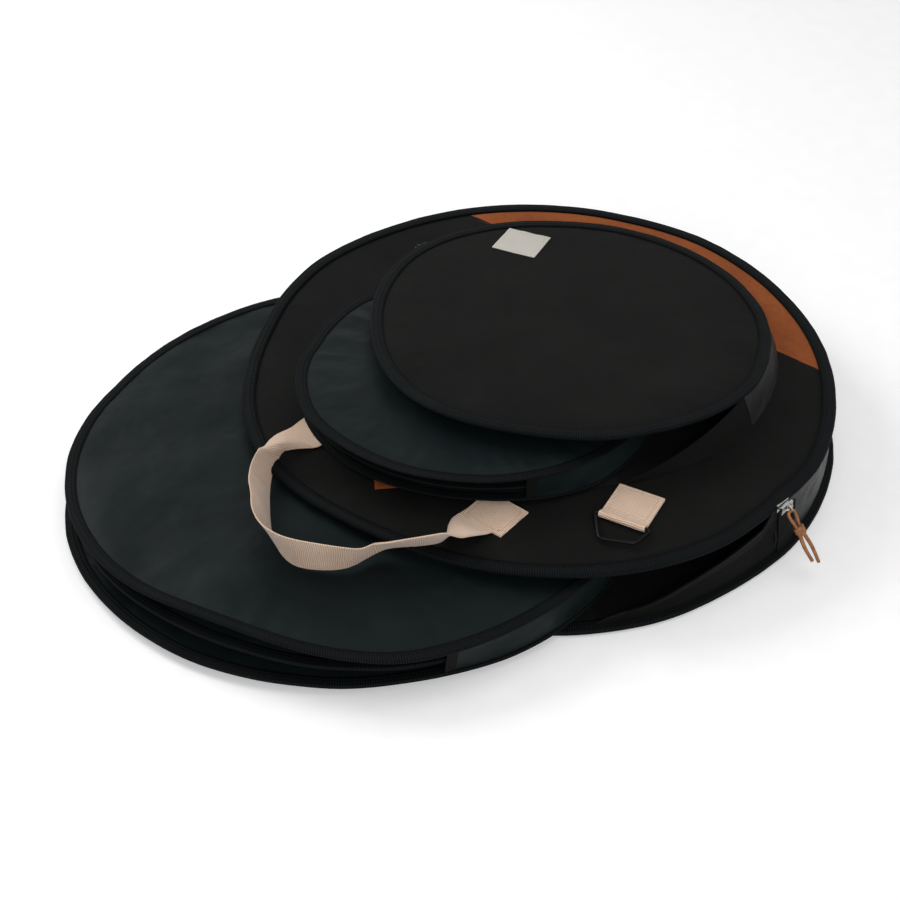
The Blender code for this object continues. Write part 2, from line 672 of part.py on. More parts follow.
def divider(name, place, radius, back, front, page_binding, page_panel, mouth, mouth_half, segments):
    """Three bound pages, open in the mouth and joined by a gusset round the rest: a wedge if front > back."""
    tilt = -math.atan2(front - back, 2 * radius)
    spare = (page_binding - page_panel) / 2
    pages = ((0.0, "lower_page", 0.0), (0.5, "middle_page", DIVIDER_PAGE_INSET), (1.0, "upper_page", 0.0))
    for level, page, inset in pages:
        rear = page_binding + (back - page_binding) * level
        page_tilt = tilt * level
        hinge = frame(f"{name}_{page}_fold", (0, radius, rear), tilt=page_tilt, parent=place)
        centre = frame(f"{name}_{page}_place", (0, -radius, -page_binding), parent=hinge)
        bound_disc(f"{name}_{page}", radius - inset, DIVIDER_BINDING_WIDTH, (spare, spare + page_panel),
                   (0.0, page_binding), segments, "divider_nylon", centre)
    outer = radius - DIVIDER_GUSSET_INSET
    inner = outer - DIVIDER_GUSSET_THICKNESS
    low = page_binding + SEAT_GAP

    def section(azimuth):
        under = back - page_binding / math.cos(tilt) - SEAT_GAP / math.cos(tilt)
        high = [under - (radius - r * math.sin(azimuth)) * math.tan(tilt) for r in (outer, inner)]
        return [(inner, low), (outer, low), (outer, high[0]), (inner, high[1])]

    piece(name + "_gusset", swept_wall(mouth + mouth_half, mouth - mouth_half + math.tau, section),
          "divider_nylon", place)


def dividers(bag, cover):
    """The large divider in the main compartment and the small one in the pocket, both drawn part way out."""
    large = frame("large_divider", (LARGE_X, LARGE_Y, LARGE_LOW), parent=bag)
    divider("large_divider", large, LARGE_RADIUS, LARGE_THICKNESS, LARGE_THICKNESS, LARGE_PAGE_BINDING,
            LARGE_PAGE_PANEL, MOUTH_AZIMUTH, LARGE_MOUTH_HALF, LARGE_SEGMENTS)
    small = frame("small_divider", (SMALL_X, SMALL_Y, COVER_PANEL_THICKNESS + SMALL_LIFT), turn=SMALL_TURN,
                  parent=cover)
    divider("small_divider", small, SMALL_RADIUS, SMALL_BACK_THICKNESS, SMALL_FRONT_THICKNESS,
            SMALL_PAGE_BINDING, SMALL_PAGE_PANEL, MOUTH_AZIMUTH - SMALL_TURN, SMALL_MOUTH_HALF, SMALL_SEGMENTS)


# Zip sliders

def slider_plate(name, inner, outer, low, parent):
    """One cheek of a slider: wide at the nose, narrow at the tail."""
    middle = low + SLIDER_NOSE_HEIGHT / 2
    half = SLIDER_LENGTH / 2
    nose, tail = SLIDER_NOSE_HEIGHT / 2, SLIDER_TAIL_HEIGHT / 2
    outline = [(-half, nose), (-half, -nose), (half, -tail), (half, tail)]
    return piece(name, loft([[(x, y, middle + z) for y, z in outline] for x in (inner, outer)], closed=False),
                 "nickel", parent)


def zip_slider(name, edge_radius, azimuth, low, with_lace, parent):
    """A slider that runs round an edge: two cheeks, the post between them, the bail, its link and the lace."""
    travel = frame(name + "_travel", turn=azimuth, parent=parent)
    inner = edge_radius + SWING_GAP
    outer = inner + SLIDER_DEPTH
    body = slider_plate(name + "_slider", inner, inner + SLIDER_PLATE, low, travel)
    cheek = slider_plate(name + "_outer_cheek", outer - SLIDER_PLATE, outer, low, travel)
    middle = low + SLIDER_NOSE_HEIGHT / 2
    front = -SLIDER_LENGTH / 2 + SLIDER_PLATE
    half = SLIDER_POST_HEIGHT / 2
    back = front + SLIDER_POST_LENGTH
    outline = [(front, -half), (back, -half), (back, half), (front, half)]
    post = piece(name + "_post", loft([[(x, y, middle + z) for y, z in outline] for x in (
        inner + SLIDER_PLATE / 2, outer - SLIDER_PLATE / 2)], closed=False), "nickel", travel)
    crown = Vector((outer + BAIL_REACH, 0, low - SLIDER_LOW + BAIL_RISE))
    sunk = crown - Vector((BAIL_REACH + SLIDER_PLATE / 2, 0, 0))
    shoulder = BAIL_REACH / 2
    foot, top = Vector((0, BAIL_HALF_LENGTH, 0)), Vector((0, BAIL_HALF_LENGTH - shoulder, 0))
    lowered = crown - Vector((shoulder, 0, 0))
    arch = [sunk - foot, lowered - foot, crown - top, crown + top, lowered + foot, sunk + foot]
    bail = piece(name + "_bail", rod(arch, BAIL_ROD, ROD_SIDES), "nickel", travel)
    united(body, [post, cheek, bail])
    swing = frame(name + "_puller", crown, parent=travel)
    link = []
    turn_steps = 6
    for centre_z, start in ((0.0, 0.0), (-LINK_STRAIGHT, math.pi)):
        for k in range(turn_steps + 1):
            angle = start + math.pi * k / turn_steps
            across, along = LINK_HALF_WIDTH * math.cos(angle), LINK_HALF_WIDTH * math.sin(angle)
            link.append(Vector((across, 0, centre_z + along)))
    piece(name + "_link", rod(link, LINK_ROD, ROD_SIDES, closed=True), "nickel", swing)
    if with_lace:
        lace(name, swing)


def lace(name, swing):
    """A leather lace looped through the link, its knot and its two tails."""
    out = Vector((TAIL_OUT_SHARE, 0, -math.sqrt(1 - TAIL_OUT_SHARE ** 2)))
    side = Vector((0, 1, 0))
    bottom = Vector((0, 0, -LINK_STRAIGHT))
    away = LINK_HALF_WIDTH - LINK_ROD - SEAT_GAP - LACE_ROD
    start = bottom + out * away
    knot_at = start + out * (LACE_LOOP_DROP + KNOT_RADIUS / 2)
    loop = []
    loop_steps = 8
    for k in range(loop_steps + 1):
        angle = math.pi * k / loop_steps
        loop.append(start + side * (LACE_LOOP_HALF_WIDTH * math.cos(angle))
                    + out * (LACE_LOOP_HALF_WIDTH * (1 - math.sin(angle))))
    loop = [knot_at + side * LACE_ROD] + loop + [knot_at - side * LACE_ROD]
    strand = piece(name + "_lace", rod(loop, LACE_ROD, ROD_SIDES), "lace_leather", swing)
    ball = bmesh.new()
    bmesh.ops.create_icosphere(ball, subdivisions=2, radius=KNOT_RADIUS, matrix=Matrix.Translation(knot_at))
    tools = [piece(name + "_knot", ball, "lace_leather", swing)]
    for sign in (1, -1):
        leave = knot_at + side * sign * KNOT_RADIUS / 2
        tip = leave + out * TAIL_LENGTH + side * sign * TAIL_SPREAD
        middle = leave.lerp(tip, 0.5) + side * sign * TAIL_SPREAD / 2
        tail = rod([leave, middle, tip], TAIL_ROD, ROD_SIDES)
        tools.append(piece(f"{name}_tail_{sign}", tail, "lace_leather", swing))
    united(strand, tools)


def build():
    """The whole bag."""
    for old in list(bpy.data.objects):
        bpy.data.objects.remove(old, do_unlink=True)
    bag = main_compartment()
    cover = cover_frame(bag)
    cover_panels(cover)
    handle(cover)
    ring_tab(cover)
    pocket(cover)
    dividers(bag, cover)
    zip_slider("main_zip", COVER_RADIUS, MOUTH_AZIMUTH + ZIP_HALF_SPAN, SLIDER_LOW, True, cover)


build()
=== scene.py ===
"""Looks of the round cymbal bag: padded panels, ribbed bindings, webbing, coated nylon, canvas and zips."""
import math

import bmesh
import bpy
import numpy as np
from mathutils import Matrix, Vector, noise


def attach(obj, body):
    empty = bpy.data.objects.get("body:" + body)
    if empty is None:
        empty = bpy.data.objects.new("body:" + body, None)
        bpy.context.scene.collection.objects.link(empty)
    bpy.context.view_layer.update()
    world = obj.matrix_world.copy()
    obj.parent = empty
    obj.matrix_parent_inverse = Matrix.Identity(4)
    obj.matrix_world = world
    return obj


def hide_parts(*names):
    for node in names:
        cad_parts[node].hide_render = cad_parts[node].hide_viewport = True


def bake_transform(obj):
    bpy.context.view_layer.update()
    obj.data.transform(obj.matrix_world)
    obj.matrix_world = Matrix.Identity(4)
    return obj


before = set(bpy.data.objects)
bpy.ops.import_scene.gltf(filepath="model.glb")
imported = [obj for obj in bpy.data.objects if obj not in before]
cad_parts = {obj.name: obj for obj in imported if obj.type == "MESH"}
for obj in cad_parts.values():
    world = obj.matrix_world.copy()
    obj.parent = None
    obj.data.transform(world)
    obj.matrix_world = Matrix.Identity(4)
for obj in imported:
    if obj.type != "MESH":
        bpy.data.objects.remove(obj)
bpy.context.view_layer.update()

# The bag's solids, in metres
BASE_RADIUS, BASE_BINDING_HEIGHT, BASE_PANEL = 0.298, 0.006, 0.004
COVER_RADIUS, COVER_PANEL, COVER_OVERHANG = 0.2945, 0.0045, 0.0012
COVER_HEIGHT, COVER_TILT = 0.0643, math.radians(2.58)
BINDING_WIDTH = 0.013
ZIP_RIGHT, ZIP_LEFT = math.radians(356.5), math.radians(183.5)
SLUMP_START, SLUMP_END, SLUMP_HEIGHT = math.radians(150), math.radians(170), 0.0002
WALL_THICKNESS, WALL_INSET, WALL_LEAN, LIP_LEAN = 0.002, 0.0055, 0.0015, 0.005
LIP_START = math.radians(318.5)
LIP_TAPE_SHARE = 0.28
TAPE_START = math.radians(5)
FOLDED_LIP_WIDTH, ZIP_TAPE_WIDTH, TAPE_UNDER_BINDING = 0.022, 0.011, 0.002
END_PATCH_START, END_PATCH_END, END_PATCH_HEIGHT = math.radians(0.4), math.radians(5.6), 0.046
SEAT_GAP, SWING_GAP = 0.0003, 0.0004
ACCENT_CHORD_Y = 0.172
PATCH_SIDE, PATCH_SHIFT_X, PATCH_SHIFT_Y = 0.058, -0.0035, -0.0015

# The pocket's and the dividers' solids
POCKET_X, POCKET_Y = 0.0085, 0.046
POCKET_BASE, POCKET_WALL_TOP_INSET, POCKET_FOLDED_WIDTH = 0.210, 0.0035, 0.018
POCKET_ZIP_RIGHT, POCKET_ZIP_LEFT = math.radians(363), math.radians(177)
POCKET_LIP_RIGHT, POCKET_LIP_LEFT = math.radians(319.5), math.radians(190.5)
LID_RADIUS, LID_PANEL, LID_OVERHANG, LID_BINDING_WIDTH = 0.202, 0.004, 0.001, 0.0125
LID_HEIGHT, LID_TILT = 0.0366, math.radians(-5.43)
LABEL_X, LABEL_Y, LABEL_SIDE, LABEL_TURN = -0.131, 0.089, 0.049, math.radians(15.5)
LARGE_PLACE = (-0.069, -0.187, 0.0068)
LARGE_RADIUS, LARGE_THICKNESS, LARGE_BINDING, LARGE_PANEL = 0.280, 0.0395, 0.0046, 0.0026
SMALL_X, SMALL_Y, SMALL_LIFT, SMALL_TURN = -0.0175, -0.065, 0.003, math.radians(-13)
SMALL_RADIUS, SMALL_BINDING, SMALL_PANEL = 0.177, 0.0026, 0.0018
SMALL_BACK, SMALL_FRONT = 0.0092, 0.040
PAGE_INSET, PAGE_BINDING_WIDTH, DIVIDER_GUSSET_INSET = 0.005, 0.011, 0.0025
MOUTH = math.radians(270)
LARGE_MOUTH_HALF, SMALL_MOUTH_HALF = math.radians(58.8), math.radians(55.2)

# The handle, the ring tab, the ring and the zip pulls
WEBBING_WIDTH, WEBBING = 0.040, 0.0015
HANDLE_Y, HANDLE_INNER_X, HANDLE_OUTER_X = -0.193, 0.080, 0.126
TAB_PLACE, TAB_TURN, TAB_SHIFT = (0.199, -0.110), math.radians(11), -0.004
TAB_WIDTH, TAB_LENGTH, TAB_CLOTH, TAB_RAMP = 0.045, 0.048, 0.0013, 0.006
TAB_STEPS, FOLD_STEPS = 8, 14
RING_ROD, RING_CORNER, CORNER_SHARES = 0.0016, 0.0045, (0.0, 0.17, 0.33, 0.5, 0.67, 0.83, 1.0)
SLIDER_DEPTH, BAIL_REACH, BAIL_RISE, POCKET_PULL_DROP = 0.007, 0.00275, 0.0020, 0.0003
LINK_ROD, LINK_HALF_WIDTH, LINK_STRAIGHT, LINK_STEPS = 0.0007, 0.00175, 0.0026, 12
LACE_ROD, LACE_LOOP_DROP, LACE_LOOP_STEPS = 0.0013, 0.0190, 40
LOOP_ROD_SHARE, KNOT_ROD_SHARE = 1.1, 1.7
# Half of the lace's loop, from the knot to the link: how far below the link, and how far to the side
LACE_MEET, LACE_BELLY, LACE_NECK = 0.0012, (0.005, 0.0044), (0.0012, 0.0014)
KNOT_RADIUS, KNOT_TURNS, KNOT_STEPS = 0.0054, 2.4, 60
KNOT_LENGTH_SHARE, KNOT_WIDTH_SHARE, KNOT_DEPTH_SHARE = 1.1, 0.62, 0.5
TAIL_ROD, TAIL_LENGTH, TAIL_SPREAD, TAIL_BOW, TAIL_OUT_SHARE = 0.0020, 0.036, 0.0014, 0.0012, 0.62
TAIL_FLAT, TAIL_TAPER, TAIL_STEPS = 0.85, 0.2, 30
# Each tail's name, its side and its share of the full length
TAILS = (("front", 1, 1.0), ("back", -1, 0.86))

# Mesh steps
PANEL_SEGMENTS, PANEL_RINGS, CHORD_COLUMNS, CHORD_RINGS = 192, 26, 90, 10
RING_SPREAD = 0.85
BINDING_STEPS, RIM_STEPS = 9, 8
STRIP_STEPS, STRIP_COLUMNS = 150, 6
STRAP_COLUMNS, HANDLE_STEPS = 12, 190
ROD_SIDES, LACE_SIDES, RING_SIDES = 12, 10, 14
EDGE_STEPS = 22
MERGE_DISTANCE, SHARP_ANGLE = 1e-5, math.radians(50)

# How padded cloth departs from a plain disc
CLOTH_END_SHARE = 0.75
CROWN_POWER, UNDER_CROWN_SHARE = 6, 0.15
FRONT_CROWN, LID_CROWN, PLAIN_CROWN = 0.0010, 0.0024, 0.0004
BACK_CLOTH = (0.0006, BASE_PANEL - 0.0002)
FRONT_CLOTH = (0.0002, COVER_PANEL - FRONT_CROWN)
LID_CLOTH = (0.0003, LID_PANEL - 0.0008)
SWAY_WAVES, SHORT_WAVE_SHARE = (0.11, 0.05), 0.4
SWAY_BACK_SHARE, SWAY_MIDDLE_SHARE, MOUTH_SHARE, MOUTH_SLOPE = 0.3, 0.35, 0.5, 0.8
FOLD_WAVES = (0.09, 0.035)
PUCKER_START, PUCKER_REACH, PUCKER_PITCH, PUCKER_DRIFT = 0.009, 0.055, 0.015, 0.35
FINE_PUCKER_SHARE, FINE_PUCKER_PITCH = 0.5, 2.1
LOOSE_SHARE, TIGHT_WAVE, TIGHT_CONTRAST = 0.35, 0.13, 1.4
SEAM_DIP, SEAM_DIP_REACH = 0.0007, 0.006
BINDING_FLAT, BINDING_WOBBLE, BINDING_WAVE = 0.8, 0.0004, 0.02
PAGE_SWAY_SHARES = (0.6, 0.8, 1.0)
# Each page's level between the divider's two faces, its name and its inset
PAGES = ((0.0, "lower", 0.0), (0.5, "middle", PAGE_INSET), (1.0, "upper", 0.0))
# Each disc's folds and the depth of its gathers
PLAIN_FOLDS, FRONT_FOLDS, LID_FOLDS = (0.0003, 0.0005), (0.0008, 0.0010), (0.0010, 0.0013)
LARGE_FOLDS, SMALL_FOLDS = (0.0034, 0.0026), (0.0013, 0.0026)
LARGE_SWAY, SMALL_SWAY = 0.0016, 0.0009

# How standing and flat cloth waves
CLOTH, WALL_SINK = 0.0008, 0.0004
BELLY_POWER, FINE_FOLD_SHARE, FINE_FOLD_PART = 0.7, 0.45, 3
WALL_ROWS, TAPE_ROWS, FOLD_ALONG, FOLD_UP = 14, 8, 0.05, 0.03
HINGE_FOLDS = dict(bulge=0.0032, count=240, padding=0.25)
LIP_FOLDS = dict(bulge=0.0034, count=110, along=0.12, up=0.009, padding=0.3)
LIP_TAPE_FOLDS = dict(bulge=0.0007, count=60, rows=TAPE_ROWS, up=0.02)
END_PATCH_FOLDS = dict(bulge=0.0012, count=16)
GUSSET_FOLDS = dict(bulge=0.0020, count=200, along=0.035, up=0.05)
HEM_FOLDS = dict(bulge=0.0005, count=6, rows=TAPE_ROWS)
POCKET_FOLDS = dict(bulge=0.0026, count=190, padding=0.2)
RIGHT_LIP_FOLDS = dict(bulge=0.0018, count=60, along=0.06, up=0.014, padding=0.3)
LEFT_LIP_FOLDS = dict(bulge=0.0010, count=24)
HEM_SPAN, HEM_PROUD = 0.005, 0.0006
END_PROUD = 0.0022
STRIP_SWAY, TAPE_SWAY, FOLDED_SWAY, STRIP_WAVE = 0.0004, 0.0002, 0.0005, 0.02
FOLDED_THICKNESS, TAPE_THICKNESS = 0.0009, 0.0005
HUNG_TAPE_BOTTOM, HUNG_TAPE_TOP = 0.0009, 0.0004
LEAST_CUT = 0.0102
SELVEDGE_SHARE, SELVEDGE_DROP, SELVEDGE_POWER = 0.2, 0.25, 14
BOW_SHARE = 0.6
# Rings of a sewn patch from its middle out, with a stitched groove and a rolled edge
PATCH_SHARES, GROOVE_SHARES = (0.02, 0.2, 0.4, 0.6, 0.75, 0.86, 0.91, 0.95, 0.985, 1.0), (0.84, 0.93)
GROOVE_DROP, EDGE_DROP, LUMP_WAVE = 0.12, 0.3, 0.012
PATCH_LUMPS, LABEL_LUMPS = 0.00018, 0.00012
END_THICKNESS, PATCH_THICKNESS, LABEL_THICKNESS, STITCH_SINK = 0.0021, 0.0006, 0.0008, 0.9
TOOTH_PITCH, TOOTH_LENGTH, TOOTH_REACH, TOOTH_HEIGHT, TOOTH_TAPER = 0.0015, 0.0009, 0.0026, 0.0014, 0.35
STITCH_PITCH, STITCH_LENGTH, STITCH_THICKNESS, STITCH_INSET = 0.0038, 0.0028, 0.00035, 0.004
SEAM_INSETS = (0.002, 0.007)
MILLIMETRE = 0.001

# Where each rim leaves its plain circle: degrees round it, then millimetres out and up
RIM_SOFTNESS = 7
BASE_RIM = ((0, 6.5), (20, 6.5), (30, 8), (50, 6), (80, 4), (110, 3), (180, 2), (220, 0), (270, 0), (295, 5),
            (310, 10), (330, 10), (340, 6), (350, 5))
FRONT_RIM = ((3, 4), (8, 7), (12, 6), (20, 4), (30, 2), (60, 1), (75, 4), (90, 7, 1), (105, 6, 1),
             (120, 8, 2), (140, 10, 3), (160, 10, 3), (180, 11, 3), (192, 6, 1), (205, -2), (220, -2),
             (232, 1), (248, 0), (260, -6, 0.5), (270, -11, 1.5), (280, -12, 2), (290, -9, 1.5), (300, -6, 1),
             (312, -3, 0.5), (322, 1), (332, 4), (342, 6), (350, 3), (357, 2))
LID_RIM = ((7, -0.5), (25, -2), (40, 0), (60, 1.5), (83, 4), (100, 6), (115, 7), (130, 5), (150, 8),
           (168, 9.5), (180, 8), (190, 5), (200, 1), (215, -1.5), (228, -1), (240, 3), (252, 8, -0.5),
           (262, 10, -1), (272, 8, -0.5), (280, 5), (290, 0), (300, -2.4), (315, -2.4), (328, -5.5),
           (340, -4.7), (352, -3))
LARGE_RIMS = (
    ((205, -5), (220, 1), (230, 4), (240, 5), (250, 4), (260, 2), (270, 0.5), (280, 0), (290, -2), (300, -4),
     (310, -3), (320, -5), (330, -4), (345, -1)),
    ((200, -10), (220, -3), (240, 0), (260, -4, 1), (275, -8, 1.5), (290, -8, 1.5), (305, -4, 0.5), (320, 0),
     (340, 0)),
    ((100, 3), (130, 2), (156, -1), (166, -5), (177, -7.5), (187, -9), (199, -9), (206, -6), (215, -3),
     (225, -1), (238, -1), (247, -3, 0.5), (256, -5, 1.5), (265, -9, 2.5), (273, -14, 3), (281, -19, 3),
     (290, -18, 3), (298, -12, 2), (306, -6, 1), (313, 0), (320, 5), (330, 4), (345, 0)))
SMALL_RIMS = (
    ((0, 0), (235, 0), (250, -2, 1), (262, -6, 2), (273, -8, 3), (285, -10, 4), (297, -12, 5),
     (310, -12.5, 5), (322, -12, 5), (332, -9, 4), (341, -6, 2), (350, -3, 1)),
    ((0, -2), (220, -2), (240, 1.5), (255, 1, 1), (270, 0, 1.5), (285, -4, 2), (300, -6, 2.5), (315, -7, 2.5),
     (330, -7, 2), (345, -5, 1)),
    ((182, -2), (190, 0), (198, -3), (208, -4.5), (220, -5), (228, 0), (240, 3), (250, 5), (258, 7.5),
     (268, 5.5), (280, 2.5), (298, 0), (310, -3.5), (325, -5.5), (338, -8), (350, -9)))
# The top of the slack lip: degrees round the bag, then millimetres above the floor
LIP_CREST = ((318.5, 7), (320.5, 11), (323, 14), (328, 17.5), (331.5, 22), (335, 27), (340, 33), (345, 38),
             (353, 44), (356.5, 62))
# The handle's lower edge and then its upper one, from its right end to its left, in millimetres on the cover
HANDLE_ROUTE = (
    (80, -188, 5.6, 120, -188, 5.6), (78.5, -205, 5.6, 118.5, -206, 5.8), (77, -215, 5.8, 117, -218, 9),
    (77, -222, 6, 115.5, -228, 14), (80, -230, 6, 114.5, -240, 21), (85, -238, 6.2, 113.5, -252, 28),
    (88.5, -246, 6.5, 110.5, -261, 36), (88, -253, 6.8, 107, -266, 40), (78, -266, 7.2, 95, -281, 40),
    (65, -278, 7, 76, -301, 37), (53, -285, 2, 64, -307, 32), (46, -297, -1.6, 62, -309, 32),
    (42, -313, -2.2, 58, -320, 33), (36, -325, -1.8, 46, -331, 36), (23, -337, -1.4, 28, -342, 38),
    (7, -346, -0.8, 9, -351, 38.5), (-7, -347, -0.6, -9, -355, 38), (-23, -342, -0.6, -30, -353, 37),
    (-41, -332, -1.4, -50, -343, 36), (-57, -319, -2, -66, -329, 35), (-72, -305, -2.6, -80, -318, 34),
    (-84, -293, -3, -89, -308, 33.5), (-94, -281, -3, -95, -300, 34), (-101, -270, -1, -99, -292, 35),
    (-105, -261, 3, -101, -286, 35), (-106, -252, 6.6, -105, -280, 32), (-103, -245, 6.8, -110, -274, 25),
    (-98, -239, 6.8, -116, -265, 18), (-92, -233, 6.6, -123, -252, 13), (-88, -229, 6.4, -127, -238, 9),
    (-84, -223, 6.2, -126, -222, 7.2), (-84, -212, 7.2, -125, -208, 7.8), (-82, -198, 5.6, -122, -196, 5.6),
    (-81, -188, 5.6, -121, -188, 5.6))
# The ring seen in its own plane: millimetres along its bar and out from it
RING_OUTLINE = ((-27.5, 0), (27.5, 0), (22, -21), (-9, -30))

# Camera, lights and floor
LENS, SENSOR, ROLL = 60, 36, 0.0024
EYE, TARGET = (0.7209, -0.9917, 0.9577), (-0.0030, -0.1290, 0.04)
LIGHT_TARGET = (0, -0.05, 0.03)
# Each light's name, place, size and power
LIGHTS = (("key", (-1.9, -0.35, 1.45), 1.4, 27.0), ("fill", (1.5, -1.5, 1.1), 1.5, 19.0),
          ("over", (0.3, 0.3, 2.6), 2.0, 14.0))
WORLD_LIGHT, FLOOR_GLOW, WHITE = 0.38, 0.22, (1, 1, 1, 1)
FLOOR_REACH, FLOOR_GAP, FLOOR_GRAIN = 6.0, 0.0005, 40.0
FLOOR_DARK, FLOOR_MIDDLE, FLOOR_LIGHT = (0.88,) * 3, (0.9,) * 3, (0.92,) * 3


def smooth_step(share):
    """Eases from 0 to 1."""
    share = min(max(share, 0.0), 1.0)
    return share * share * (3 - 2 * share)


def mix(start, end, share):
    """The value at a share of the way."""
    return start + (end - start) * share


def steps(start, end, count):
    """Evenly spaced values, both ends included."""
    return [start + (end - start) * k / count for k in range(count + 1)]


def polar(r, azimuth, z=0.0):
    """A point at a radius and an azimuth."""
    return r * math.cos(azimuth), r * math.sin(azimuth), z


def ripple(x, y, seed, scale):
    """Smooth noise between about -1 and 1."""
    return noise.noise(Vector((x / scale, y / scale, seed)))


def tilt_frame(place, tilt=0.0, turn=0.0):
    """A frame at a place, turned about Z and then tilted about its own X."""
    return Matrix.Translation(place) @ Matrix.Rotation(turn, 4, "Z") @ Matrix.Rotation(tilt, 4, "X")


BAG = Matrix.Identity(4)
COVER = tilt_frame((0, 0, COVER_HEIGHT), COVER_TILT)
POCKET = COVER @ Matrix.Translation((POCKET_X, POCKET_Y, 0))
LID_HINGE = (0, LID_RADIUS * math.cos(LID_TILT), LID_HEIGHT + LID_RADIUS * math.sin(LID_TILT))
LID = POCKET @ tilt_frame(LID_HINGE, LID_TILT) @ Matrix.Translation((0, -LID_RADIUS, 0))
LARGE = Matrix.Translation(LARGE_PLACE)
SMALL = COVER @ tilt_frame((SMALL_X, SMALL_Y, COVER_PANEL + SMALL_LIFT), turn=SMALL_TURN)


# Materials

# Noise: scale, detail and roughness
# The woven broad noise on the next line gives uneven tone, and on the black outer fabric also painted
# reflection
WOVEN_TONE_AND_SHEEN, RIB_BROAD = (11.0, 5.0, 0.62), (20.0, 3.0)
# The coated broad noise on the next line gives uneven tone, and on the divider nylon also painted sheen
COATED_TONE_AND_SHEEN, COATED_SOFT = (9.0, 3.0, 0.55), (26.0, 2.0)
WEBBING_UNEVEN, WEBBING_FINE, WEBBING_BROAD = (60.0, 2.0), (900.0, 2.0), (45.0, 3.0)
LEATHER_MOTTLE, METAL_SCUFF, PLASTIC_FINE = (220.0, 4.0), (700.0, 4.0), (1500.0, 2.0)
FINE_THREADS, FINE_DETAIL, LEATHER_GRAIN = 3, 2.0, 1400.0
# How much each pattern takes of a finish's shade
# The woven broad share on the next line weighs that mottle of uneven tone and painted reflection
WOVEN_SHARE, WOVEN_TONE_AND_SHEEN_SHARE = 0.4, 0.6
# The last two shares on the next line darken the tape with painted shade: a line at its inner edge, and its
# stitched groove
RIB_SHARE, RIB_BROAD_SHARE, THREAD_SHARE, SEAM_SHADE_SHARE, GROOVE_SHADE_SHARE = 0.7, 0.4, 0.45, 1.3, 0.3
# The coated broad share on the next line weighs that mottle of uneven tone and painted sheen
COATED_TONE_AND_SHEEN_SHARE, COATED_WEAVE_SHARE = 0.75, 0.25
ACROSS_SHARE, ALONG_SHARE = 0.25, 0.75
WEBBING_SHARES = (0.55, 0.2, 0.25)
# The bump of ribs, groove and thread of the tape, and of webbing's fine threads
TAPE_BUMPS, WEBBING_FINE_BUMP = (0.7, 1.4, 1.1), 0.5
# The tape's stitched groove, darkened by painted shade, and the painted shade line where it meets the cloth,
# in metres
GROOVE_HALF, SEAM_SHADE_WIDTH, THREAD_HALF, THREAD_PITCH, THREAD_START = 0.0011, 0.0024, 0.00038, 0.0042, 0.28
RIPSTOP, RIPSTOP_BUMP, WEBBING_PITCHES, WEBBING_DRIFT = 0.0009, 0.00007, (0.0021, 0.0019), 0.004
WEBBING_BUMP, LEATHER_BUMP, PLASTIC_BUMP = 0.00026, 0.0002, 0.00004
# Where a finish's dark and light ends lie on its pattern
WIDE_RAMP, TAPE_RAMP = (0.2, 0.8), (0.2, 0.85)
METAL_ROUGHNESS, DARKER, LIGHTER = (0.14, 0.4), 0.8, 1.3


class Signal:
    """A value inside a material; each sum, product or function of it is one maths node."""

    def __init__(self, tree, socket):
        self.tree, self.socket = tree, socket

    def node(self, operation, first, second=None):
        """One maths node; an input is a signal or a number."""
        made = self.tree.nodes.new("ShaderNodeMath")
        made.operation = operation
        for index, value in enumerate((first, second)):
            if isinstance(value, Signal):
                self.tree.links.new(value.socket, made.inputs[index])
            elif value is not None:
                made.inputs[index].default_value = value
        return Signal(self.tree, made.outputs[0])

    def __add__(self, other):
        return self.node("ADD", self, other)

    def __sub__(self, other):
        return self.node("SUBTRACT", self, other)

    def __rsub__(self, other):
        return self.node("SUBTRACT", other, self)

    def __mul__(self, other):
        return self.node("MULTIPLY", self, other)

    def __truediv__(self, other):
        return self.node("DIVIDE", self, other)

    def wave(self, period):
        """A sine of that period, from -1 to 1."""
        return self.node("SINE", self * (math.tau / period))

    def half_wave(self, period):
        """A sine of that period, from 0 to 1."""
        return self.wave(period) * 0.5 + 0.5


def new_material(name, colour, roughness, specular=0.5, sheen=0.0, metallic=0.0):
    """A Principled material with its constant values on the shader's own sockets."""
    made = bpy.data.materials.new(name)
    made.use_nodes = True
    shader = made.node_tree.nodes["Principled BSDF"]
    shader.inputs["Base Color"].default_value = (*colour, 1)
    shader.inputs["Roughness"].default_value = roughness
    shader.inputs["Specular IOR Level"].default_value = specular
    shader.inputs["Sheen Weight"].default_value = sheen
    shader.inputs["Sheen Roughness"].default_value = 0.5
    shader.inputs["Metallic"].default_value = metallic
    return made, made.node_tree, shader


def cloth_lengths(tree):
    """The UV map, and the cloth's arc length and width in metres that it holds."""
    uv = tree.nodes.new("ShaderNodeTexCoord").outputs["UV"]
    split = tree.nodes.new("ShaderNodeSeparateXYZ")
    tree.links.new(uv, split.inputs[0])
    return uv, Signal(tree, split.outputs["X"]), Signal(tree, split.outputs["Y"])


def own_place(tree):
    """The object's own coordinates."""
    return tree.nodes.new("ShaderNodeTexCoord").outputs["Object"]


def noise_value(tree, vector, scale, detail=3.0, roughness=0.5):
    """A noise texture's value."""
    made = tree.nodes.new("ShaderNodeTexNoise")
    made.inputs["Scale"].default_value = scale
    made.inputs["Detail"].default_value = detail
    made.inputs["Roughness"].default_value = roughness
    tree.links.new(vector, made.inputs["Vector"])
    return Signal(tree, made.outputs["Fac"])


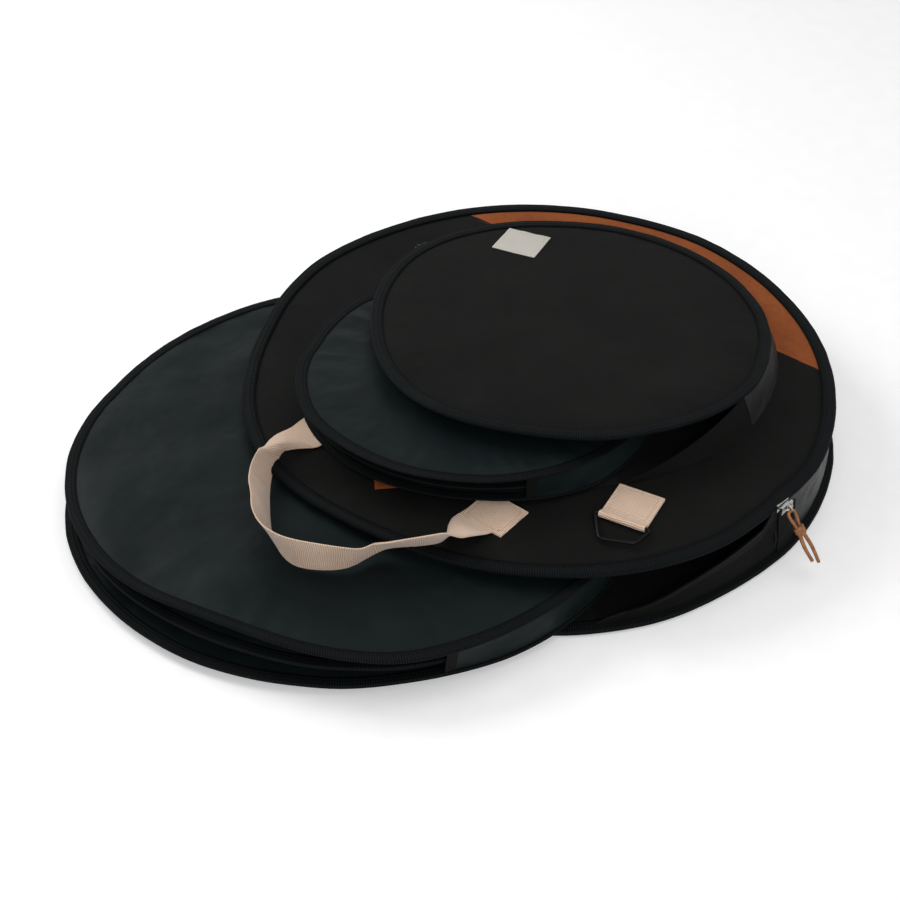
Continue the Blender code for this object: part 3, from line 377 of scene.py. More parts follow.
def shade_by(tree, shader, value, dark, light, ends=(0.3, 0.7)):
    """Colours the shader from dark to light by a value."""
    ramp = tree.nodes.new("ShaderNodeValToRGB")
    for element, position, colour in zip(ramp.color_ramp.elements, ends, (dark, light)):
        element.position = position
        element.color = (*colour, 1)
    tree.links.new(value.socket, ramp.inputs[0])
    tree.links.new(ramp.outputs[0], shader.inputs["Base Color"])


def bump(tree, shader, height, distance):
    """Bumps the shader by a height, in metres times distance."""
    made = tree.nodes.new("ShaderNodeBump")
    made.inputs["Distance"].default_value = distance
    made.inputs["Strength"].default_value = 1.0
    tree.links.new(height.socket, made.inputs["Height"])
    tree.links.new(made.outputs[0], shader.inputs["Normal"])


def plain_weave(u, v, period):
    """The over and under of a plain weave, from 0 to 1."""
    return u.wave(period) * v.wave(period) * 0.5 + 0.5


def woven_material(name, dark, light, period, depth, roughness, sheen, specular, slub=0.35):
    """Plain woven cloth with threads of slightly uneven shade, and a broad mottle that is uneven tone and, on
    the black outer fabric, also painted reflection.
    """
    made, tree, shader = new_material(name, light, roughness, specular, sheen)
    uv, u, v = cloth_lengths(tree)
    weave = plain_weave(u, v, period)
    fine = noise_value(tree, uv, 1 / (period * FINE_THREADS), FINE_DETAIL)
    # Broad mottle: uneven tone, and on the black outer fabric also painted reflection
    broad = noise_value(tree, uv, *WOVEN_TONE_AND_SHEEN)
    threads = weave * (1 - slub) + fine * slub
    shade_by(tree, shader, threads * WOVEN_SHARE + broad * WOVEN_TONE_AND_SHEEN_SHARE, dark, light)
    bump(tree, shader, weave + fine * slub, depth)
    return made


def tape_material(name, dark, light, rib, depth, stitch_inset, roughness, specular):
    """Ribbed binding tape with a row of stitches in a groove, painted shade in the groove and a painted shade
    line at its inner edge.
    """
    made, tree, shader = new_material(name, light, roughness, specular)
    uv, u, v = cloth_lengths(tree)
    ribs = u.half_wave(rib)
    broad = noise_value(tree, uv, *RIB_BROAD)
    offset = v - stitch_inset
    from_line = offset.node("ABSOLUTE", offset)
    groove = from_line.node("MINIMUM", from_line / GROOVE_HALF, 1.0)
    # Painted shade: a dark line along the tape's inner edge, where it meets the cloth
    seam = v.node("MAXIMUM", 1.0 - v / SEAM_SHADE_WIDTH, 0.0)
    dash = u.node("GREATER_THAN", u.half_wave(THREAD_PITCH), THREAD_START)
    thread = dash * from_line.node("LESS_THAN", from_line, THREAD_HALF)
    shade = ribs * RIB_SHARE + broad * RIB_BROAD_SHARE + thread * THREAD_SHARE
    # Take off painted shade along the inner edge and in the stitched groove
    shade = shade - seam * SEAM_SHADE_SHARE - (1.0 - groove) * GROOVE_SHADE_SHARE
    shade_by(tree, shader, shade, dark, light, TAPE_RAMP)
    rib_bump, groove_bump, thread_bump = TAPE_BUMPS
    bump(tree, shader, ribs * rib_bump + groove * groove_bump + thread * thread_bump, depth)
    return made


def coated_material(name, dark, light, roughness, ripples, specular):
    """Coated nylon: smooth and slightly shiny, with a fine ripstop grid, soft ripples, and a broad mottle
    that is uneven tone and, on the divider nylon, also painted sheen.
    """
    made, tree, shader = new_material(name, light, roughness, specular)
    uv, u, v = cloth_lengths(tree)
    weave = plain_weave(u, v, RIPSTOP)
    # Broad mottle: uneven tone, and on the divider nylon also painted sheen on its folds
    broad = noise_value(tree, uv, *COATED_TONE_AND_SHEEN)
    soft = noise_value(tree, uv, *COATED_SOFT)
    shade_by(tree, shader, broad * COATED_TONE_AND_SHEEN_SHARE + weave * COATED_WEAVE_SHARE, dark, light)
    bump(tree, shader, weave * RIPSTOP_BUMP + soft * ripples, 1.0)
    return made


def webbing_material(name, dark, light, roughness, specular, sheen):
    """Heavy cotton webbing of thick, uneven threads."""
    made, tree, shader = new_material(name, light, roughness, specular, sheen)
    uv, u, v = cloth_lengths(tree)
    pitch_across, pitch_along = WEBBING_PITCHES
    across = v.half_wave(pitch_across)
    along = (u + noise_value(tree, uv, *WEBBING_UNEVEN) * WEBBING_DRIFT).half_wave(pitch_along)
    weave = across * ACROSS_SHARE + along * ALONG_SHARE
    fine = noise_value(tree, uv, *WEBBING_FINE)
    broad = noise_value(tree, uv, *WEBBING_BROAD)
    weave_share, fine_share, broad_share = WEBBING_SHARES
    shade_by(tree, shader, weave * weave_share + fine * fine_share + broad * broad_share, dark, light,
             WIDE_RAMP)
    bump(tree, shader, weave + fine * WEBBING_FINE_BUMP, WEBBING_BUMP)
    return made


def leather_material(name, dark, light, roughness, specular):
    """Soft cut leather with grain."""
    made, tree, shader = new_material(name, light, roughness, specular)
    place = own_place(tree)
    grain = tree.nodes.new("ShaderNodeTexVoronoi")
    grain.inputs["Scale"].default_value = LEATHER_GRAIN
    tree.links.new(place, grain.inputs["Vector"])
    shade_by(tree, shader, noise_value(tree, place, *LEATHER_MOTTLE), dark, light)
    bump(tree, shader, Signal(tree, grain.outputs["Distance"]), LEATHER_BUMP)
    return made


def scaled(colour, share):
    """A darker or a lighter colour."""
    return tuple(channel * share for channel in colour)


def metal_material(name, colour, roughness):
    """Plating, a little scuffed."""
    made, tree, shader = new_material(name, colour, roughness, metallic=1.0)
    scuff = noise_value(tree, own_place(tree), *METAL_SCUFF)
    ramp = tree.nodes.new("ShaderNodeMapRange")
    ramp.inputs["To Min"].default_value, ramp.inputs["To Max"].default_value = METAL_ROUGHNESS
    tree.links.new(scuff.socket, ramp.inputs["Value"])
    tree.links.new(ramp.outputs[0], shader.inputs["Roughness"])
    shade_by(tree, shader, scuff, scaled(colour, DARKER), colour)
    return made


def plastic_material(name, colour, roughness, specular):
    """Moulded plastic with a fine satin texture."""
    made, tree, shader = new_material(name, colour, roughness, specular)
    fine = noise_value(tree, own_place(tree), *PLASTIC_FINE)
    shade_by(tree, shader, fine, scaled(colour, DARKER), scaled(colour, LIGHTER))
    bump(tree, shader, fine, PLASTIC_BUMP)
    return made


def plain_name(material):
    """A material's name without the number that is added when the name is taken."""
    return material.name.split(".")[0]


LOOKS = {plain_name(made): made for made in (
    woven_material("outer_fabric", (0.0028, 0.0028, 0.0027), (0.0088, 0.0089, 0.0084), period=0.0012,
                   depth=0.00022, roughness=0.75, sheen=0.0, specular=0.055),
    tape_material("grosgrain", (0.0006, 0.0009, 0.0010), (0.0068, 0.0086, 0.0095), rib=0.0022, depth=0.0005,
                  stitch_inset=0.0038, roughness=0.7, specular=0.05),
    coated_material("gusset_nylon", (0.008, 0.0085, 0.009), (0.020, 0.0205, 0.0215), roughness=0.40,
                    ripples=0.0012, specular=0.14),
    coated_material("divider_nylon", (0.0036, 0.0066, 0.0067), (0.0094, 0.0142, 0.0147), roughness=0.36,
                    ripples=0.0022, specular=0.045),
    woven_material("canvas", (0.150, 0.036, 0.009), (0.36, 0.098, 0.024), period=0.0016, depth=0.00022,
                   roughness=0.85, sheen=0.05, specular=0.1, slub=0.55),
    webbing_material("webbing", (0.42, 0.285, 0.20), (0.90, 0.67, 0.51), roughness=0.85, specular=0.25,
                     sheen=0.3),
    woven_material("label_cotton", (0.45, 0.42, 0.37), (0.62, 0.585, 0.53), period=0.0012, depth=0.00012,
                   roughness=0.85, sheen=0.1, specular=0.2),
    woven_material("zip_tape", (0.0030, 0.0032, 0.0034), (0.0080, 0.0084, 0.0090), period=0.0014,
                   depth=0.00018, roughness=0.75, sheen=0.0, specular=0.1),
    metal_material("nickel", (0.40, 0.395, 0.38), roughness=0.22),
    plastic_material("moulded_plastic", (0.0025, 0.0025, 0.003), roughness=0.24, specular=0.10),
    leather_material("lace_leather", (0.15, 0.052, 0.014), (0.38, 0.150, 0.042), roughness=0.5,
                     specular=0.45),
)}
DARK_PLATING = metal_material("dark_plating", (0.035, 0.035, 0.037), roughness=0.22)


# Meshes

def grid_object(name, points, us, vs, finish, body, matrix, wrap_u=False, wrap_v=False, cap=False,
                merge=False, stands_for=()):
    """A sheet of quads through rows of points, with the cloth's own lengths as its UV map."""
    rows, columns = len(points), len(points[0])
    vertices = [matrix @ Vector(p) for row in points for p in row]
    faces, loops = [], []
    for i in range(rows if wrap_u else rows - 1):
        for j in range(columns if wrap_v else columns - 1):
            here, there = i * columns, (i + 1) % rows * columns
            following = (j + 1) % columns
            faces.append((here + j, there + j, there + following, here + following))
            loops += [(us[i], vs[j]), (us[i + 1], vs[j]), (us[i + 1], vs[j + 1]), (us[i], vs[j + 1])]
    if cap:
        for i in (0, rows - 1):
            faces.append(tuple(i * columns + j for j in range(columns)))
            loops += [(us[i], vs[j]) for j in range(columns)]
    mesh = bpy.data.meshes.new(name)
    mesh.from_pydata(vertices, [], faces)
    layer = mesh.uv_layers.new(name="UVMap")
    layer.data.foreach_set("uv", np.array(loops, np.float32).ravel())
    return dress(name, mesh, finish, body, merge, stands_for)


def dress(name, mesh, finish, body, merge=False, stands_for=()):
    """Tidies a mesh, gives it its finish, and lets it ride on its body."""
    work = bmesh.new()
    work.from_mesh(mesh)
    if merge:
        bmesh.ops.remove_doubles(work, verts=work.verts, dist=MERGE_DISTANCE)
    bmesh.ops.recalc_face_normals(work, faces=work.faces)
    work.to_mesh(mesh)
    work.free()
    mesh.shade_smooth()
    mesh.set_sharp_from_angle(angle=SHARP_ANGLE)
    mesh.materials.append(LOOKS[finish])
    made = bpy.data.objects.new(name, mesh)
    bpy.context.scene.collection.objects.link(made)
    if stands_for:
        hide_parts(*stands_for)
    if body:
        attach(made, body)
    return made


def dress_many(name, work, matrix, finish, body):
    """Makes one piece of many small forms."""
    mesh = bpy.data.meshes.new(name)
    work.to_mesh(mesh)
    work.free()
    mesh.transform(matrix)
    mesh.uv_layers.new(name="UVMap")
    return dress(name, mesh, finish, body)


def flat_uv(made):
    """Lays the weave straight across a flat piece: its UV map is its own X and Y."""
    mesh = made.data
    where = np.zeros(len(mesh.vertices) * 3, np.float32)
    mesh.vertices.foreach_get("co", where)
    where = where.reshape(-1, 3)
    corner = np.zeros(len(mesh.loops), np.int32)
    mesh.loops.foreach_get("vertex_index", corner)
    mesh.uv_layers[0].data.foreach_set("uv", where[corner][:, :2].ravel())


def girth_of(profile):
    """The length round a closed profile at each of its points."""
    girth = [0.0]
    for before, after in zip(profile, profile[1:] + profile[:1]):
        girth.append(girth[-1] + math.hypot(after[0] - before[0], after[1] - before[1]))
    return girth


class Rim:
    """How a rim leaves its plain circle, out and up, smoothed between the points read for it."""

    def __init__(self, points=((0, 0),)):
        degrees, out, up = np.array([(*point, 0)[:3] for point in sorted(points)], float).T
        turns = np.arange(360)
        self.outs = self.soften(np.interp(turns, degrees, out, period=360)) * MILLIMETRE
        self.ups = self.soften(np.interp(turns, degrees, up, period=360)) * MILLIMETRE

    @staticmethod
    def soften(values):
        """Rounds off the corners between the points."""
        weights = np.hanning(2 * RIM_SOFTNESS + 3)[1:-1]
        shifts = range(-RIM_SOFTNESS, RIM_SOFTNESS + 1)
        return sum(weight * np.roll(values, k) for weight, k in zip(weights, shifts)) / weights.sum()

    @staticmethod
    def between(values, azimuth):
        """The value at an azimuth between whole degrees."""
        turn = math.degrees(azimuth) % 360
        low = int(turn) % 360
        return float(mix(values[low], values[(low + 1) % 360], turn - int(turn)))

    def out(self, azimuth):
        """How far out the rim stands."""
        return self.between(self.outs, azimuth)

    def up(self, azimuth):
        """How far up the rim stands."""
        return self.between(self.ups, azimuth)


BASE_EDGE, FRONT_EDGE, LID_EDGE = Rim(BASE_RIM), Rim(FRONT_RIM), Rim(LID_RIM)
LARGE_EDGES = [Rim(points) for points in LARGE_RIMS]
SMALL_EDGES = [Rim(points) for points in SMALL_RIMS]


class Disc:
    """A round bound panel: its padded cloth, its binding, and how both wave."""

    def __init__(self, name, radius, width, panel, binding, matrix, body, finish, seed, rim, sway=0.0,
                 crown=PLAIN_CROWN, folds=PLAIN_FOLDS):
        self.name, self.radius, self.width = name, radius, width
        self.panel, self.binding = panel, binding
        self.matrix, self.body, self.finish = matrix, body, finish
        self.seed, self.rim, self.sway, self.crown = seed, rim, sway, crown
        self.crease, self.gather = folds
        self.inner = radius - width
        self.cloth_end = radius - width * CLOTH_END_SHARE

    def lift(self, x, y):
        """How far the panel and its binding bend up or down together: most at the rim in the mouth."""
        reach = min(math.hypot(x, y) / self.radius, 1.0) ** 2
        mouth = smooth_step(MOUTH_SHARE - y / self.radius * MOUTH_SLOPE)
        long, short = SWAY_WAVES
        wave = ripple(x, y, self.seed, long) + SHORT_WAVE_SHARE * ripple(x, y, self.seed + 5, short)
        swing = self.sway * mix(SWAY_BACK_SHARE, 1, mouth) * mix(SWAY_MIDDLE_SHARE, 1, reach)
        return self.rim.up(math.atan2(y, x)) * reach + swing * wave

    def spread(self, x, y):
        """Where a point of the plain disc goes in plan once its rim is out of round."""
        r = math.hypot(x, y)
        if not r:
            return x, y
        grow = 1 + self.rim.out(math.atan2(y, x)) * (r / self.radius) ** 2 / r
        return x * grow, y * grow

    def surface(self, x, y):
        """Height of the top of the cloth over a point of the disc."""
        return self.panel[1] + self.lift(x, y) + self.swell(math.hypot(x, y)) + self.pucker(x, y)

    def pucker(self, x, y):
        """Unevenness of the cloth: broad folds in the middle, a valley and short gathers at the seam."""
        r = math.hypot(x, y)
        depth = self.inner - r
        turn = math.atan2(y, x)
        away = smooth_step(depth / PUCKER_START)
        long, short = FOLD_WAVES
        folds = ripple(x, y, self.seed + 2, long) + SHORT_WAVE_SHARE * ripple(x, y, self.seed + 3, short)
        around = Vector(polar(1.0, turn)) * (self.radius / PUCKER_PITCH)
        gathers = noise.noise(around + Vector((0, 0, self.seed + r / PUCKER_REACH * PUCKER_DRIFT)))
        gathers += FINE_PUCKER_SHARE * noise.noise(around * FINE_PUCKER_PITCH + Vector((0, 0, self.seed + 4)))
        tight = smooth_step(0.5 + TIGHT_CONTRAST * ripple(x, y, self.seed + 6, TIGHT_WAVE))
        gathers *= away * smooth_step(1 - depth / PUCKER_REACH) * mix(LOOSE_SHARE, 1, tight)
        valley = SEAM_DIP * smooth_step(1 - depth / SEAM_DIP_REACH)
        return self.crease * folds * away + self.gather * gathers - valley

    def swell(self, r):
        """The padding's crown: full in the middle, drawn down to the binding."""
        return self.crown * math.sqrt(1 - min(r / self.inner, 1.0) ** CROWN_POWER)

    def build_panel(self, nodes):
        """Top and underside of the padded cloth, meeting under the binding."""
        rings = [self.cloth_end * share ** RING_SPREAD for share in steps(0, 1, PANEL_RINGS)]
        turns = steps(0, math.tau, PANEL_SEGMENTS)[:-1]
        outline = [[polar(r, turn)[:2] for r in rings] for turn in turns]
        return self.build_cloth(self.name, outline, True, self.finish, nodes)

    def build_chord(self, name, level, above, finish, nodes):
        """The part of the cloth on one side of a straight seam, cut in strips across the seam."""
        inner = self.cloth_end
        span = math.sqrt(inner * inner - level * level) if above else inner
        columns, rows = (CHORD_COLUMNS, CHORD_RINGS) if above else (PANEL_SEGMENTS, 2 * PANEL_RINGS)
        outline = []
        for k in range(columns + 1):
            x = -span * math.cos(math.pi * k / columns)
            edge = math.sqrt(max(inner * inner - x * x, 0.0))
            low, high = (level, max(edge, level)) if above else (-edge, min(edge, level))
            outline.append([(x, mix(low, high, (1 - math.cos(math.pi * j / rows)) / 2))
                            for j in range(rows + 1)])
        return self.build_cloth(name, outline, False, finish, nodes)

    def build_cloth(self, name, outline, around, finish, nodes):
        """Skins the top and the underside over a plan of points."""
        points = []
        for plan in outline:
            top = [(*self.spread(x, y), self.surface(x, y)) for x, y in plan]
            under = [(*self.spread(x, y), self.underside(x, y)) for x, y in reversed(plan)]
            points.append(top + under)
        us, vs = [0.0] * (len(points) + 1), [0.0] * (len(points[0]) + 1)
        made = grid_object(name, points, us, vs, finish, None, BAG, wrap_u=around, wrap_v=True,
                           cap=not around, merge=True)
        flat_uv(made)
        made.data.transform(self.matrix)
        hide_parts(*nodes)
        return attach(made, self.body)

    def underside(self, x, y):
        """Height of the underside of the cloth."""
        return self.panel[0] + self.lift(x, y) - UNDER_CROWN_SHARE * self.swell(math.hypot(x, y))

    def build_binding(self, nodes):
        """Ribbed tape folded over the edge, with a full rounded rim."""
        low, high = self.binding
        half, middle = (high - low) / 2, (high + low) / 2
        full = 1 - BINDING_FLAT
        flank = [(self.inner + (self.width - half) * share,
                  half * (BINDING_FLAT + full * math.sin(math.pi * share)))
                 for share in steps(0, 1, BINDING_STEPS)]
        profile = list(flank)
        for angle in steps(math.pi / 2, -math.pi / 2, RIM_STEPS)[1:-1]:
            rise = math.sin(angle)
            profile.append((self.radius - half + half * math.cos(angle),
                            half * (BINDING_FLAT * rise + full * rise ** 3)))
        profile += [(r, -z) for r, z in reversed(flank)]
        turns = steps(0, math.tau, PANEL_SEGMENTS)
        points = []
        for turn in turns[:-1]:
            row = []
            for r, z in profile:
                wobble = BINDING_WOBBLE * ripple(*polar(r, turn)[:2], self.seed + 7, BINDING_WAVE)
                x, y, _ = polar(r + wobble * (r - self.inner) / self.width, turn)
                row.append((*self.spread(x, y), middle + z + self.lift(x, y) + wobble / 2))
            points.append(row)
        us = [self.radius * turn for turn in turns]
        return grid_object(self.name + "_edge", points, us, girth_of(profile), "grosgrain", self.body,
                           self.matrix, wrap_u=True, wrap_v=True, stands_for=nodes)


def cloth_wall(name, start, end, section, finish, nodes, body, matrix, seed, bulge, count, rows=WALL_ROWS,
               along=FOLD_ALONG, up=FOLD_UP, padding=0.0):
    """Standing cloth between two seams, with soft folds. section gives (foot r, foot z, top r, top z)."""
    azimuths = steps(start, end, count)
    points, rises = [], []
    for azimuth in azimuths:
        foot, low, top, high = section(azimuth)
        rises.append(high - low)
        row = []
        for share in steps(0, 1, rows):
            arc, rise = azimuth * foot, (high - low) * share * along / up
            fold = ripple(arc, rise, seed, along)
            fold += FINE_FOLD_SHARE * ripple(arc, rise, seed + 1, along / FINE_FOLD_PART)
            belly = bulge * math.sin(math.pi * share) ** BELLY_POWER
            row.append((mix(foot, top, share) + belly * mix(fold, 1, padding), mix(low, high, share)))
        back = [(r - CLOTH, z) for r, z in reversed(row)]
        points.append([polar(r, azimuth, z) for r, z in row + back])
    foot = section(start)[0]
    us = [foot * (azimuth - start) for azimuth in azimuths]
    heights = steps(0.0, max(rises), rows)
    vs = heights + heights[::-1] + heights[:1]
    made = grid_object(name, points, us, vs, finish, body, matrix, wrap_v=True, cap=True, stands_for=nodes)
    declare_cloth(us[-1], max(rises), sum(rises) / len(rises) * us[-1])
    return made


def declare_cloth(width, length, area):
    """For a piece of cloth wider and longer than LEAST_CUT, works out the smaller of its area and its width
    times its length; the result is not kept or passed on.
    """
    if min(width, length) > LEAST_CUT:
        min(area, width * length)


def flat_strip(name, start, end, inner, outer, low, high, finish, nodes, body, matrix, seed, rim,
               sway=STRIP_SWAY):
    """A flat curved strip of cloth, such as a folded lip or a zip tape."""
    azimuths, widths = steps(start, end, STRIP_STEPS), steps(inner, outer, STRIP_COLUMNS)
    points = []
    for azimuth in azimuths:
        out, up = rim.out(azimuth), rim.up(azimuth)
        row = []
        for r in widths:
            x, y, _ = polar(r + out, azimuth)
            row.append((x, y, high + up + sway * (1 + ripple(x, y, seed, STRIP_WAVE)) / 2))
        points.append(row + [polar(r + out, azimuth, low + up) for r in reversed(widths)])
    us = [outer * (azimuth - start) for azimuth in azimuths]
    vs = widths + widths[::-1] + widths[:1]
    made = grid_object(name, points, us, vs, finish, body, matrix, wrap_v=True, cap=True, stands_for=nodes)
    declare_cloth(us[-1], outer - inner, us[-1] * (outer - inner))
    return made


def zip_teeth(name, start, end, place, body, matrix):
    """The moulded teeth of a zip, one small block after another. place gives (radius, height)."""
    work = bmesh.new()
    count = int(place(start)[0] * abs(end - start) / TOOTH_PITCH)
    for k in range(count):
        azimuth = start + (end - start) * (k + 0.5) / count
        r, z = place(azimuth)
        outward, along = Vector(polar(1.0, azimuth)), Vector(polar(1.0, azimuth + math.pi / 2))
        for vertex in bmesh.ops.create_cube(work, size=1.0)["verts"]:
            c = vertex.co.copy()
            narrow = 1.0 - TOOTH_TAPER * c.x
            vertex.co = outward * (r + c.x * TOOTH_REACH) + along * (c.y * TOOTH_LENGTH * narrow)
            vertex.co.z = z + c.z * TOOTH_HEIGHT
    return dress_many(name, work, matrix, "moulded_plastic", body)


def strap(name, edges, width, thickness, finish, body, matrix, nodes):
    """Flat webbing with rounded selvedges between pairs of edge points; it arches where they come close."""
    inset = 1 - 2 * thickness * SELVEDGE_SHARE / width
    profile = []
    for side in (1, -1):
        for share in steps(-side, side, STRAP_COLUMNS):
            rise = side * thickness / 2 * (1 - SELVEDGE_DROP * abs(share) ** SELVEDGE_POWER)
            profile.append((share * inset, rise))
        profile.append((side, 0.0))
    middles = [(lower + upper) / 2 for lower, upper in edges]
    points, length = [], [0.0]
    for k, (lower, upper) in enumerate(edges):
        travel = (middles[min(k + 1, len(edges) - 1)] - middles[max(k - 1, 0)]).normalized()
        across = (upper - lower).normalized()
        chord = min((upper - lower).length, width)
        arch = BOW_SHARE * math.sqrt(3 * chord * (width - chord) / 8)
        normal = travel.cross(across).normalized()
        row = []
        for share, rise in profile:
            bow = arch * (1 - share * share)
            row.append(tuple(middles[k] + across * (share * chord / 2) + normal * (rise + bow)))
        points.append(row)
        if k:
            length.append(length[-1] + (middles[k] - middles[k - 1]).length)
    girth = girth_of([(share * width / 2, rise) for share, rise in profile])
    return grid_object(name, points, length, girth, finish, body, matrix, wrap_v=True, cap=True,
                       stands_for=nodes)


def tube(name, path, radius, finish, body, matrix, closed=False, sides=ROD_SIDES, flat=1.0, stands_for=(),
         taper=0.0):
    """A round or flattened cord through a path, thinner by its taper at its end."""
    count = len(path)
    rows, length = [], [0.0]
    side = None
    for k, point in enumerate(path):
        before = path[(k - 1) % count] if closed or k else point
        after = path[(k + 1) % count] if closed or k < count - 1 else point
        along = (after - before).normalized()
        side = along.orthogonal() if side is None else side - along * side.dot(along)
        side.normalize()
        other = along.cross(side)
        r = radius * (1 - taper * k / (count - 1))
        rows.append([point + side * x + other * (y * flat)
                     for x, y, _ in (polar(r, math.tau * n / sides) for n in range(sides))])
        length.append(length[-1] + (path[(k + 1) % count] - point).length)
    vs = [radius * turn for turn in steps(0.0, math.tau, sides)]
    return grid_object(name, rows, length, vs, finish, body, matrix, wrap_u=closed, wrap_v=True,
                       cap=not closed, stands_for=stands_for)


def smooth_path(points, count):
    """A Catmull-Rom curve through a few points."""
    last = len(points) - 1
    made = []
    for k in range(count + 1):
        t = k / count * last
        i = min(int(t), last - 1)
        f = t - i
        p = [points[min(max(i + d, 0), last)] for d in (-1, 0, 1, 2)]
        made.append(0.5 * ((2 * p[1]) + (p[2] - p[0]) * f + (2 * p[0] - 5 * p[1] + 4 * p[2] - p[3]) * f * f
                           + (3 * p[1] - p[0] - 3 * p[2] + p[3]) * f ** 3))
    return made


def middle_of(outline):
    """The middle of an outline's corners."""
    return sum((Vector(p) for p in outline), Vector((0, 0))) / len(outline)


def cloth_patch(name, outline, surface, thick, finish, body, matrix, nodes, seed, lumps=PATCH_LUMPS):
    """A thin patch of cloth that follows the surface beneath it, with a soft rolled edge."""
    centre = middle_of(outline)
    edge = []
    for here, there in zip(outline, outline[1:] + outline[:1]):
        edge += [Vector(here).lerp(Vector(there), k / EDGE_STEPS) for k in range(EDGE_STEPS)]
    groove_start, groove_end = GROOVE_SHARES
    points = []
    for p in edge:
        top, under = [], []
        for share in PATCH_SHARES:
            x, y = centre.lerp(p, share)
            seat = surface(x, y) + SEAT_GAP
            drop = EDGE_DROP * (share == 1.0) + GROOVE_DROP * (groove_start < share < groove_end)
            top.append((x, y, seat + thick * (1 - drop) + lumps * ripple(x, y, seed, LUMP_WAVE)))
            under.append((x, y, seat))
        points.append(top + under[::-1])
    us, vs = [0.0] * (len(edge) + 1), [0.0] * (len(points[0]) + 1)
    made = grid_object(name, points, us, vs, finish, None, BAG, wrap_u=True, wrap_v=True, merge=True)
    flat_uv(made)
    made.data.transform(matrix)
    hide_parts(*nodes)
    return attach(made, body)


def sewn_lines(outline, crossed=False):
    """Stitch lines just inside an outline of four or more corners, and its two diagonals when crossed."""
    centre = middle_of(outline)
    corners = [Vector(p) + (centre - Vector(p)).normalized() * STITCH_INSET * math.sqrt(2) for p in outline]
    lines = list(zip(corners, corners[1:] + corners[:1]))
    if crossed:
        lines += [(corners[0], corners[2]), (corners[1], corners[3])]
    return lines


def stitch_row(name, lines, surface, lift, body, matrix, finish="webbing"):
    """Thread stitches along lines on a surface: small half-sunk grains of thread."""
    work = bmesh.new()
    for start, end in lines:
        along = (end - start).normalized()
        side = Vector((-along.y, along.x))
        count = max(1, round((end - start).length / STITCH_PITCH))
        for k in range(count):
            centre = start.lerp(end, (k + 0.5) / count)
            z = surface(centre.x, centre.y) + lift
            for vertex in bmesh.ops.create_icosphere(work, subdivisions=1, radius=1.0)["verts"]:
                c = vertex.co.copy()
                flat = centre + along * (c.x * STITCH_LENGTH / 2) + side * (c.y * STITCH_THICKNESS)
                vertex.co = Vector((flat.x, flat.y, z + c.z * STITCH_THICKNESS))
    return dress_many(name, work, matrix, finish, body)


# The bag's own cloth

def cover_underside(y):
    """Height of the underside of the cover's binding over a point of the bag."""
    return COVER_HEIGHT + y * math.tan(COVER_TILT) - COVER_OVERHANG / math.cos(COVER_TILT)


def wall_top(azimuth):
    """Top of the main wall: it slumps at the left, and the lip falls away in the mouth."""
    full = cover_underside((BASE_RADIUS - WALL_INSET) * math.sin(azimuth)) - SEAT_GAP + FRONT_EDGE.up(azimuth)
    low = BASE_BINDING_HEIGHT + SEAT_GAP + SLUMP_HEIGHT
    azimuth = azimuth % math.tau
    if azimuth > math.pi:
        degrees, heights = zip(*LIP_CREST)
        return min(float(np.interp(math.degrees(azimuth), degrees, heights)) * MILLIMETRE, full)
    return mix(low, full, smooth_step((SLUMP_END - azimuth) / (SLUMP_END - SLUMP_START)))


def wall_section(low_share=0, high_share=1):
    """The main wall between two shares of its own height, from the back's rim to the front's."""
    def section(azimuth):
        bottom = BASE_BINDING_HEIGHT - WALL_SINK
        full = cover_underside((BASE_RADIUS - WALL_INSET) * math.sin(azimuth)) - bottom
        rise = wall_top(azimuth) - bottom
        outer = BASE_RADIUS - WALL_INSET - WALL_THICKNESS
        ends = []
        for share in (low_share, high_share):
            climb = share * rise / full
            out = mix(BASE_EDGE.out(azimuth), FRONT_EDGE.out(azimuth), climb)
            ends += [outer + out - mix(WALL_LEAN + LIP_LEAN, WALL_LEAN, rise / full) * climb,
                     bottom + share * rise]
        return tuple(ends)
    return section


def front_disc():
    """The front panel as a disc."""
    return Disc("front_cloth", COVER_RADIUS, BINDING_WIDTH, FRONT_CLOTH,
                (-COVER_OVERHANG, COVER_PANEL + COVER_OVERHANG), COVER, "cover", "outer_fabric", 2.0,
                FRONT_EDGE, crown=FRONT_CROWN, folds=FRONT_FOLDS)


def main_panels():
    """The bag's two round panels and their bindings, with the canvas chord at the back of the front."""
    back = Disc("back_cloth", BASE_RADIUS, BINDING_WIDTH, BACK_CLOTH, (0.0, BASE_BINDING_HEIGHT), BAG,
                "shell", "outer_fabric", 1.0, BASE_EDGE)
    back.build_panel(("back_panel",))
    back.build_binding(("back_panel_binding",))
    front = front_disc()
    front.build_chord("front_cloth", ACCENT_CHORD_Y, False, "outer_fabric", ("front_panel",))
    front.build_chord("canvas_chord", ACCENT_CHORD_Y, True, "canvas", ("accent_panel",))
    front.build_binding(("front_panel_binding",))
    reach = math.sqrt(front.inner ** 2 - ACCENT_CHORD_Y ** 2)
    seams = [[Vector((x, ACCENT_CHORD_Y + inset)) for x in (-reach, reach)] for inset in SEAM_INSETS]
    stitch_row("chord_stitches", seams, front.surface, 0.0, "cover", COVER, "canvas")


